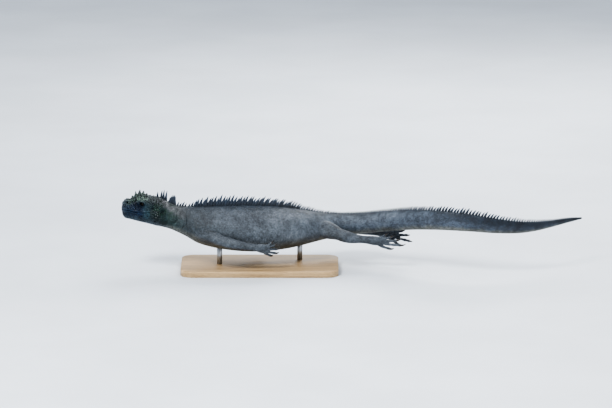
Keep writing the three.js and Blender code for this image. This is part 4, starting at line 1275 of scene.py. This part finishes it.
def limb_roots(skin_map, limb_share, limb, side, body):
    """Small scales over a leg, its palm and its toes, up to those of the trunk."""
    rows = limb_bones(limb, side)
    bones, ways = rows[:, :3], rows[:, 3:6]
    strips, lengths, steps, reach = rows[:, 6:].T
    middle = skin_map.points[skin_map.faces].mean(1)
    low, high = bones[12:].min(0) - 22, bones.max(0) + 22
    keep = ((middle > low) & (middle < high)).all(1)
    near = np.flatnonzero(keep)
    far = (np.linalg.norm(middle[near, None] - bones[None, 12::3], axis=2) - reach[12::3]).min(1)
    keep[near[far > 0]] = False
    points, normals, face, weight = surface_points(skin_map, keep, LIMB_POINTS, SEEDS["leg points"])
    bone = np.linalg.norm(points[:, None] - bones[None], axis=2).argmin(1)
    low, high = points.min(0) - 3, points.max(0) + 3
    close = ((body["points"] > low) & (body["points"] < high)).all(1)
    taken = (body["points"][close], body["size"][close, 1] / BODY_OVERLAP[1])
    claws = np.array([toe_line(limb, foot_frame(limb, side), digit, 5)[-1] for digit in limb["digits"]])
    free = np.linalg.norm(points[:, None] - claws[None], axis=2).min(1) >= CLAW_ROOM
    points, normals, face, weight, bone = (v[free] for v in (points, normals, face, weight, bone))
    pick, width = packed(points, steps[bone], taken, SEEDS["leg packing"])
    points, normals, face, weight, bone = (v[pick] for v in (points, normals, face, weight, bone))
    random = dice("leg size")
    strip = strips[bone]
    spread = np.where(strip > 0, TOE_SPREAD, 1.0) * width
    size = np.stack([spread * LIMB_OVERLAP[0], spread * LIMB_OVERLAP[1],
                     width * (0.3 + 0.08 * normals[:, 2])], 1)
    size = size * (0.94 + 0.12 * random.random((len(pick), 3)))
    limb_part = (limb_share[skin_map.faces[face]] * weight).sum(1)
    station, _, height = body_place(points)
    level = np.clip(level_of(station, height), 0, 1) * (1 - limb_part) + LIMB_LEVEL * limb_part
    off = points - bones[bone]
    across = unit(np.cross(ways[bone], UP))
    over = np.cross(across, ways[bone])
    angle = np.arctan2((off * over).sum(1), (off * across).sum(1)) / (2 * np.pi) + 0.5
    v = np.where(strip > 0, 0.02 + 0.19 * (strip - 1 + 0.94 * angle), 0.02 + 0.95 * angle)
    unwrap = np.stack([lengths[bone] + 0.003 * random.random(len(pick)), v], 1)
    return root_rows(points, normals, ways[bone], size, station, level, limb_part,
                     random.random(len(pick)), unwrap)


# The head's scales

CROWN_ROWS = 8
CROWN_START = 14
CROWN_STEP = 6.4
CROWN_ARC = 1.25
CROWN_PEAK = 31.5
CROWN_PEAK_REACH = 12.5
CROWN_LOW = 2.6
CROWN_TALL = 8.2


class Draw:
    """The same repeatable random numbers that the solids draw."""

    def __init__(self, seed):
        self.state = seed

    def __call__(self):
        self.state = (self.state * 1664525 + 1013904223) % 4294967296
        return self.state / 4294967296


def crown_spots():
    """The tall pyramid scales, as the solids have them: station, angle, radius and height."""
    random = Draw(SEEDS["crown"])
    spots = []
    for row in range(CROWN_ROWS):
        station = CROWN_START + row * CROWN_STEP
        across = 3 if row < 1 else 5
        for k in range(across):
            part = k / (across - 1) - 0.5
            shift = 0.09 if row % 2 else -0.02
            angle = math.pi / 2 + (part + shift * (-1 if part > 0 else 1)) * CROWN_ARC
            near = math.exp(-(((station - CROWN_PEAK) / CROWN_PEAK_REACH) ** 2) - (part * 1.5) ** 2)
            height = CROWN_LOW + CROWN_TALL * near * (0.82 + 0.36 * random())
            spots.append((station + 1.6 * (random() - 0.5), angle, 2.7 + near * 0.9, height))
    return np.array(spots)


HEAD_POINTS = 42000


def head_unwrap(station, across):
    """A scale's place on the head's flat map, given how far across it lies, 0 to 1."""
    return np.stack([station * UNWRAP_HEAD + 0.05, across], 1)


def lid_edge(side):
    """Points along the edge of the lids."""
    ring = lid_outline(LID_REACH + 0.6, LID_RISE + 1.5, 15)
    radius = EYE_RADIUS + LID_THICKNESS + 0.3
    out = EYE[1] + np.sqrt(np.maximum(radius ** 2 - ((ring / [1.2, 1.04]) ** 2).sum(1), 1))
    return place(EYE[0] + ring[:, 0], side * out, EYE[2] + ring[:, 1])


def head_grain(station, out, height):
    """Spacing and height of the scales at points of the head."""
    level = level_of(station, height)
    crown = ramp(level, 0.72, 0.9) * (1 - ramp(station, 70, 92))
    jowl = np.exp(-((station - 67) / 10) ** 2 - ((height + 4) / 10) ** 2)
    lids = np.exp(-((station - EYE[0]) / 9) ** 4 - ((height - EYE[2] + 0.4) / 7.6) ** 4) * (np.abs(out) > 12)
    nose = np.exp(-((station - NOSTRIL[0]) / 5.5) ** 4 - ((height - NOSTRIL[2]) / 5) ** 4)
    throat = 1 - ramp(level, 0.12, 0.3)
    ear = np.exp(-((station - EAR[0]) / 5) ** 4 - ((height - EAR[2]) / 6.5) ** 4)
    step = (2.5 + 1.5 * crown + 3.0 * jowl) * (1 - 0.5 * lids) - 1.0 * lids * crown
    step = (step * (1 - 0.3 * nose) - 0.4 * throat) * (1 - 0.42 * ear)
    stand = (0.75 + 1.2 * crown + 0.9 * jowl) * (1 - 0.55 * lids) - 0.6 * lids * crown - 0.25 * throat
    return step, stand


def head_roots(skin_map):
    """Roots of the head's scales: tall ones on the crown, and all the others."""
    station, angle, radius, tall = crown_spots().T
    out, height = section_points(station, angle)
    size = np.stack([radius * 2, radius * 2, tall], 1)
    horns = settled(skin_map, place(station, out, height), facing_of(station, out, height), TAILWARD, size,
                    station, level_of(station, height), head_unwrap(station, 0.5 + out * UNWRAP_HEAD),
                    "crown tone", 6)
    ahead = skin_map.points[:, 0] - SNOUT[0] < NECK_START + 1.5
    spots, normals, _, _ = surface_points(
        skin_map, ahead[skin_map.faces].all(1), HEAD_POINTS, SEEDS["head points"])
    station, out, height = (spots - SNOUT).T
    bare = (np.abs(height - along(MOUTH_LINE, station)) < 3.3) & (station < MOUTH_CORNER + 1)
    for side in (-1, 1):
        root, mouth = nostril_line(side)
        way = unit(mouth - root)
        bare |= np.linalg.norm(np.cross(spots - root, way), axis=1) + 9 * ((spots - root) @ way < -2) < 3.1
        bare |= np.linalg.norm(spots - eye_centre(side), axis=1) < EYE_RADIUS + 0.6
        rim = lid_edge(side)
        bare |= np.linalg.norm(spots[:, None] - rim[None, ::2], axis=2).min(1) < 1.25
    bare |= ((station - EAR[0]) / 2.5) ** 2 + ((height - EAR[2]) / 3.8) ** 2 < 1
    bare |= (out * normals[:, 1] < -6) & (np.abs(out) > 8)
    station, out, height, spots, normals = (v[~bare] for v in (station, out, height, spots, normals))
    step, stand = head_grain(station, out, height)
    pick, width = packed(spots, step, (horns["points"], horns["size"][:, 0] * 0.9), SEEDS["head packing"])
    random = dice("head size")
    station, out, height, spots, normals, step, stand = (
        v[pick] for v in (station, out, height, spots, normals, step, stand))
    spread = 0.94 + 0.14 * random.random((len(pick), 3))
    size = np.stack([width * HEAD_OVERLAP[0], width * HEAD_OVERLAP[1],
                     stand * np.minimum(width / step, 1.1)], 1) * spread
    arc = np.arctan2(height - 5, out) / (2 * np.pi) + 0.5
    small = root_rows(spots, normals, TAILWARD, size, station, level_of(station, height), 0,
                      random.random(len(pick)), head_unwrap(station, 0.03 + arc * 0.94))
    return horns, small


# The lips' rows of plates: how far each lies above the mouth line, and its width
LIP_ROWS = ((1.72, 3.2), (-1.66, 3.0))
LIP_STEP = 3.0


def lip_roots(skin_map):
    """The row of plates along each lip, from corner to corner round the snout."""
    parts = []
    stations = np.concatenate([np.linspace(1.2, SNOUT_ROUND, 24), np.arange(SNOUT_ROUND, MOUTH_CORNER, 0.8)])
    for side_above, width in LIP_ROWS:
        right = []
        for s in stations:
            out, height, above = ring_of_skin(s, float(snout_share(s)))
            right.append((s, np.interp(side_above, above, out), np.interp(side_above, above, height)))
        right = np.array(right)
        line = np.concatenate([right[::-1] * [1, -1, 1], right])
        far = length_of(line)
        number = round(far[-1] / LIP_STEP)
        marks = (np.arange(number) + 0.5) * far[-1] / number
        spots = points_at(marks, far, line)
        points = place(*spots.T)
        lie = unit(place(*points_at(marks + 0.5, far, line).T) - points)
        facing = unit(np.cross(lie, UP))
        facing *= np.sign((facing * (points - place(30, 0, 10))).sum(1))[:, None]
        size = np.tile([far[-1] / number * 1.2, width, 0.72], (number, 1))
        parts.append(settled(skin_map, points, facing, lie, size, spots[:, 0], 0.45,
                             head_unwrap(spots[:, 0], 0.5 + spots[:, 1] * UNWRAP_HEAD), "lip tone", 3))
    return joined(parts)


def edge_roots(skin_map, points, centre, size, level, draw):
    """A row of small scales along a closed edge round an opening."""
    lie = unit(np.roll(points, -1, 0) - points)
    station, out, _ = (points - SNOUT).T
    return settled(skin_map, points, unit(points - centre), lie, np.tile(size, (len(points), 1)), station,
                   level, head_unwrap(station, 0.5 + out * 0.006), draw, 1.8)


def rim_roots(skin_map):
    """The rows of small scales on the edges of the lids and round the nostrils."""
    parts = []
    for side in (-1, 1):
        parts.append(edge_roots(
            skin_map, lid_edge(side), eye_centre(side), (1.25, 1.15, 0.55), 0.6, "lid tone"))
        root, mouth = nostril_line(side)
        way = unit(mouth - root)
        across = unit(np.cross(way, UP))
        turn = ring_angles(14)[:, None]
        ring = np.cos(turn) * across + np.sin(turn) * np.cross(way, across)
        edge = mouth - way * 0.8 + ring * (NOSTRIL_RADIUS + 1.1)
        parts.append(edge_roots(skin_map, edge, root - way * 3, (1.7, 1.5, 0.7), 0.7, "nostril tone"))
    return joined(parts)


# The crest

SPINE_SLENDER = 0.3


def spine_form():
    """A blade of unit height: a curved, tapering, lens-shaped spine with a sunk root."""
    angle = ring_angles(8)
    lens = np.sign(np.sin(angle)) * np.abs(np.sin(angle)) ** 1.3
    bend = 0.16 / SPINE_SLENDER
    rings = []
    for height in (-0.16, *np.linspace(0, 0.94, 7)):
        up = max(height, 0)
        width = (1 - up) ** 0.66 * (1 + 0.12 * math.sin(math.pi * up))
        rings.append(np.stack([np.cos(angle) * 0.5 * width + bend * up ** 2.2,
                               lens * 0.5 * width ** 0.8, np.full(len(angle), height)], 1))
    return form_of("spine", rings, [bend, 0, 1.0])


def spine_roots(rows, unwrap):
    """Roots of crest spines from rows of station, length, lean, root length and thickness."""
    station, length, lean, root, thick = np.array(rows).T
    tilt = np.radians(lean)[:, None]
    turn = turn_at(station)
    ahead = np.stack([np.cos(turn), np.sin(turn), np.zeros(len(turn))], 1)
    axis = ahead * np.sin(tilt) + UP * np.cos(tilt)
    lie = ahead * np.cos(tilt) - UP * np.sin(tilt)
    size = np.stack([root, thick, length + SKIN_DEPTH], 1)
    points = place(station, 0, along(SECTIONS, station, 2) - SKIN_DEPTH)
    flat = np.stack([station * unwrap + 0.01, np.full(len(station), 0.5)], 1)
    tone = dice("spine tone").random(len(station))
    return root_rows(points, axis, lie, size, station, 1, 0, tone, flat)


CREST_STEP = 5.2
TAIL_CREST_STEP = 5.8


def crest_rows(first, last):
    """Spines along the back or the tail: station, length, lean, root length and thickness."""
    random = dice("crest")
    rows = []
    station = first
    while station < last:
        step = CREST_STEP + (TAIL_CREST_STEP - CREST_STEP) * float(ramp(station, 380, 460))
        length = float(along(CREST_LENGTH, station)) * (0.84 + 0.3 * random.random())
        lean = float(along(CREST_LEAN, station)) + 9 * (random.random() - 0.5)
        root = min(step * 1.42, 2.2 + length * 0.26)
        rows.append((station, length, lean, root, 1.2 + length * 0.11))
        station += step * (0.92 + 0.16 * random.random())
    return rows


def nape_rows():
    return [(s, length, lean, 3.2 + length * 0.1, 1.8 + length * 0.07) for s, length, lean in NAPE_SPINES]


# Eyes and claws

def finished(piece, finish, node):
    """Gives a separate piece its finish and puts it in the place of its node."""
    piece.data.materials.append(finish)
    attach(piece, "root")
    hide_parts(node)


def make_eye(side, name):
    """An eyeball whose cornea bulges a little. Its points know how far they are turned from the
    middle of the pupil."""
    centre = eye_centre(side)
    piece = ball(name, centre, EYE_RADIUS, 64, 48)
    points = mesh_points(piece)
    way = unit(points - centre)
    turn = np.arccos(np.clip(way @ unit(np.array([-0.16, side, 0.04])), -1, 1)) / np.pi
    bulge = 0.25 * np.exp(-(turn / 0.17) ** 2)
    points = points + way * bulge[:, None] * (turn < 0.3)[:, None]
    piece.data.vertices.foreach_set("co", (points * MM).ravel())
    set_attributes(piece, gaze=turn)
    shade_smooth(piece)
    return piece


def make_claw(limb, side, digit, name):
    """A hooked claw: deep at its root and drawn to a worn point."""
    foot = foot_frame(limb, side)
    line = toe_line(limb, foot, digit, 5)
    ahead = unit(line[-1] - line[-2])
    across = unit(np.cross(foot[2], ahead))
    over = np.cross(ahead, across)

    def centre(t):
        bend = CLAW_HOOK * max(t, 0)
        along_it = math.sin(bend) / CLAW_HOOK * limb["claw"] + GAP + min(t, 0) * limb["claw"]
        down = (1 - math.cos(bend)) / CLAW_HOOK * limb["claw"]
        return line[-1] + ahead * along_it - over * down

    turn = ring_angles(14)[:, None]
    rings = []
    rise = []
    for t in np.linspace(-0.14, 0.96, 14):
        bend = CLAW_HOOK * max(t, 0)
        up = over * math.cos(bend) + ahead * math.sin(bend)
        radius = limb["toe"] * 0.66 * (1 - max(t, 0)) ** 0.8 + 0.1
        rings.append(centre(t) + across * (np.cos(turn) * radius * 0.78)
                     + up * (np.sin(turn) * radius * 1.12))
        rise.append(max(t, 0))
    piece = mesh_object(name, *loft(rings, end=centre(1)))
    set_attributes(piece, rise=np.concatenate([[0], np.repeat(rise, len(turn)), [1]]))
    return piece


# The stand

def make_base():
    """A flat base with rounded corners and a softened top edge."""
    inner = np.array([BASE_LENGTH, BASE_WIDTH]) / 2 - BASE_CORNER
    corners = []
    for quarter, signs in enumerate(((1, 1), (-1, 1), (-1, -1), (1, -1))):
        turn = np.radians(90 * quarter + np.linspace(0, 90, 17))
        corners.append(inner * signs + np.stack([np.cos(turn), np.sin(turn)], 1) * BASE_CORNER)
    outline = np.concatenate(corners)
    way = unit(outline - np.clip(outline, -inner, inner))
    profile = [(0, 0.6), (0.6, 0)]
    for turn in np.radians(np.linspace(0, 90, 7)):
        profile.append((BASE_THICKNESS - BASE_EDGE + BASE_EDGE * math.sin(turn),
                        BASE_EDGE * (1 - math.cos(turn))))
    rings = [np.concatenate([outline - way * inset, np.full((len(outline), 1), height)], 1)
             for height, inset in profile]
    return mesh_object("stand_plinth", *loft(rings, [0, 0, 0], [0, 0, BASE_THICKNESS]))


def make_rod(name, station):
    """An upright from just above the base to just inside the belly, its edges eased."""
    x, y, _ = place(station, 0, 0)
    foot = BASE_THICKNESS + GAP
    top = WATER_LEVEL + float(along(SECTIONS, station, 3)) + ROD_SUNK
    turn = ring_angles(48)
    rings = []
    for height, inset in ((foot, ROD_EDGE), (foot + ROD_EDGE, 0), (top, 0), (top + ROD_EDGE, ROD_EDGE)):
        radius = ROD_RADIUS - inset
        rings.append(np.stack([x + np.cos(turn) * radius, y + np.sin(turn) * radius,
                               np.full(len(turn), height)], 1))
    return mesh_object(name, *loft(rings))


# The finished pieces

HIDE = hide_finish()
HORN = spine_finish()
CLAW = claw_finish()
EYEBALL = eye_finish()
OAK = wood_finish()
STEEL = steel_finish()


def mark_skin(piece):
    """Gives the skin the same marks that its scales carry. Returns how much each point is limb."""
    station, out, height = body_place(mesh_points(piece))
    half, top, belly, widest, roof, keel = section_at(station)
    upper = height > widest
    reach = np.abs(np.where(upper, top, belly) - widest)
    square = np.where(upper, roof, keel)
    beyond = np.abs(out / half) ** square + np.abs((height - widest) / reach) ** square
    limb = ramp(beyond, 1.15, 1.6) * (station > 128) * (station < 600)
    drum = np.exp(-((((station - EAR[0]) / 2.3) ** 2 + ((height - EAR[2]) / 3.6) ** 2) ** 2)) * (station < 90)
    level = np.clip(level_of(station, height), 0, 1) * (1 - limb) + LIMB_LEVEL * limb
    # The bare skin's low rise gives it the painted shade of the gaps between scales; the ear's drum and the
    # legs get less of it
    set_attributes(piece, mark=np.stack([station / TOTAL_LENGTH, level, limb], 1),
                   tone=np.full(len(station), 0.3), rise=0.2 + 0.15 * drum + 0.16 * limb)
    return limb


TRUNK_MIDDLE = 250
PYRAMID_STAND = 1.25
PLATE_LENGTH = 3.8

skin = whole_skin()
limb_share = mark_skin(skin)
skin.data.materials.clear()
skin.data.materials.append(HIDE)
skin.data.polygons.foreach_set("material_index", np.zeros(len(skin.data.polygons), np.int32))
skin.name = "skin"
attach(skin, "root")
FLESH = [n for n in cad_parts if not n.startswith(("stand", "eye")) and "claw" not in n]
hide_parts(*FLESH)

skin_map = SkinMap(skin)
body = body_roots(skin_map, NECK_START - 1, TOTAL_LENGTH - 2)
station, out, _ = body_place(body["points"])
tail = body["mark"][:, 0] * TOTAL_LENGTH >= SNOUT_TO_VENT
lengths = (("trunk_scales_{}_front", ~tail & (station < TRUNK_MIDDLE)),
           ("trunk_scales_{}_back", ~tail & (station >= TRUNK_MIDDLE)), ("tail_scales_{}", tail))
for label, side in SIDES:
    here = (out > 0) == (side > 0)
    for name, part in lengths:
        grow(name.format(label), chosen(body, part & here), KEELED, HIDE)
    for name, limb in (("fore", FORE), ("hind", HIND)):
        roots = limb_roots(skin_map, limb_share, limb, side, body)
        grow(f"{name}limb_scales_{label}", roots, KEELED, HIDE)
horns, small = head_roots(skin_map)
tall = (small["size"][:, 2] > PYRAMID_STAND) & (small["mark"][:, 1] > 0.6)
plates = (small["size"][:, 0] > PLATE_LENGTH) & ~tall
crown = grow("crown_scales", horns, PYRAMID, HIDE)
forehead = grow("forehead_scales", chosen(small, tall), PYRAMID, HIDE)
for piece, worn in ((crown, 1.0), (forehead, 0.4)):
    set_attributes(piece, tip=np.full(len(piece.data.vertices), worn))
grow("jowl_plates", chosen(small, plates), PLATE, HIDE)
grow("head_scales", chosen(small, ~tall & ~plates), GRANULE, HIDE)
lips = lip_roots(skin_map)
lips["tone"] = 1.2 + 0.4 * lips["tone"]
grow("lip_plates", lips, PLATE, HIDE)
grow("rim_scales", rim_roots(skin_map), GRANULE, HIDE)

BLADE = spine_form()
for name, rows, unwrap in (("nape_spines", nape_rows(), UNWRAP_TRUNK),
                           ("back_crest", crest_rows(127, SNOUT_TO_VENT), UNWRAP_TRUNK),
                           ("tail_crest", crest_rows(SNOUT_TO_VENT + 2, TOTAL_LENGTH - 12), UNWRAP_TAIL)):
    grow(name, spine_roots(rows, unwrap), BLADE, HORN)
for form in (GRANULE, KEELED, PLATE, PYRAMID, BLADE):
    bpy.data.objects.remove(form)

for label, side in SIDES:
    finished(make_eye(side, f"eye_{label}_ball"), EYEBALL, f"eye_{label}")
for limb, foot in ((FORE, "forefoot"), (HIND, "hindfoot")):
    for label, side in SIDES:
        for number, digit in enumerate(limb["digits"], 1):
            node = f"{foot}_{label}_claw_{number}"
            finished(make_claw(limb, side, digit, f"{node}_horn"), CLAW, node)
finished(make_base(), OAK, "stand_base")
for number, station in enumerate(ROD_STATIONS, 1):
    node = f"stand_rod_{number}"
    finished(make_rod(f"{node}_smooth", station), STEEL, node)

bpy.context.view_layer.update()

# Floor, light and camera, which aims at a place given from the snout
CAMERA_HEIGHT = math.radians(12)
CAMERA_DISTANCE = 8.0
FRAME_WIDTH = 1.163
AIM = (349.6, 0, 19.4)
LAMP_AIM = Vector((0.15, 0, 0.1))

bpy.ops.mesh.primitive_plane_add(size=30)
floor = bpy.context.object
floor.name = "floor"
finish, shop, shader, spot = new_finish("studio floor")
grey = shop.mix(shop.rise(shop.noise(spot, 3.0), 0.3, 0.7), paint(212, 217, 222), paint(220, 225, 230))
shop.feed(shader, {"Base Color": grey, "Roughness": 0.6})
floor.data.materials.append(finish)
camera = bpy.data.objects.new("camera", bpy.data.cameras.new("camera"))
studio.collection.objects.link(camera)
studio.camera = camera
away = Vector((0, -math.cos(CAMERA_HEIGHT), math.sin(CAMERA_HEIGHT)))
camera.location = Vector((SNOUT + AIM) * MM) + away * CAMERA_DISTANCE
camera.rotation_euler = away.to_track_quat("Z", "Y").to_euler()
camera.data.lens = camera.data.sensor_width * CAMERA_DISTANCE / FRAME_WIDTH
camera.data.clip_end = 60
studio.view_settings.view_transform = "AgX"
studio.view_settings.look = "AgX - High Contrast"
world = bpy.data.worlds.new("studio")
studio.world = world
world.use_nodes = True
light = world.node_tree.nodes["Background"].inputs
light["Color"].default_value = (0.8, 0.86, 0.95, 1)
light["Strength"].default_value = 0.75
for name, where, size, power in (("key", (-1.0, -1.6, 2.0), 0.8, 60), ("fill", (1.6, -1.8, 1.0), 1.6, 14),
                                 ("back", (0.6, 1.8, 1.6), 1.4, 40)):
    lamp = bpy.data.objects.new(name, bpy.data.lights.new(name, "AREA"))
    lamp.data.energy = power
    lamp.data.size = size
    lamp.location = where
    lamp.rotation_euler = (Vector(where) - LAMP_AIM).to_track_quat("Z", "Y").to_euler()
    studio.collection.objects.link(lamp)
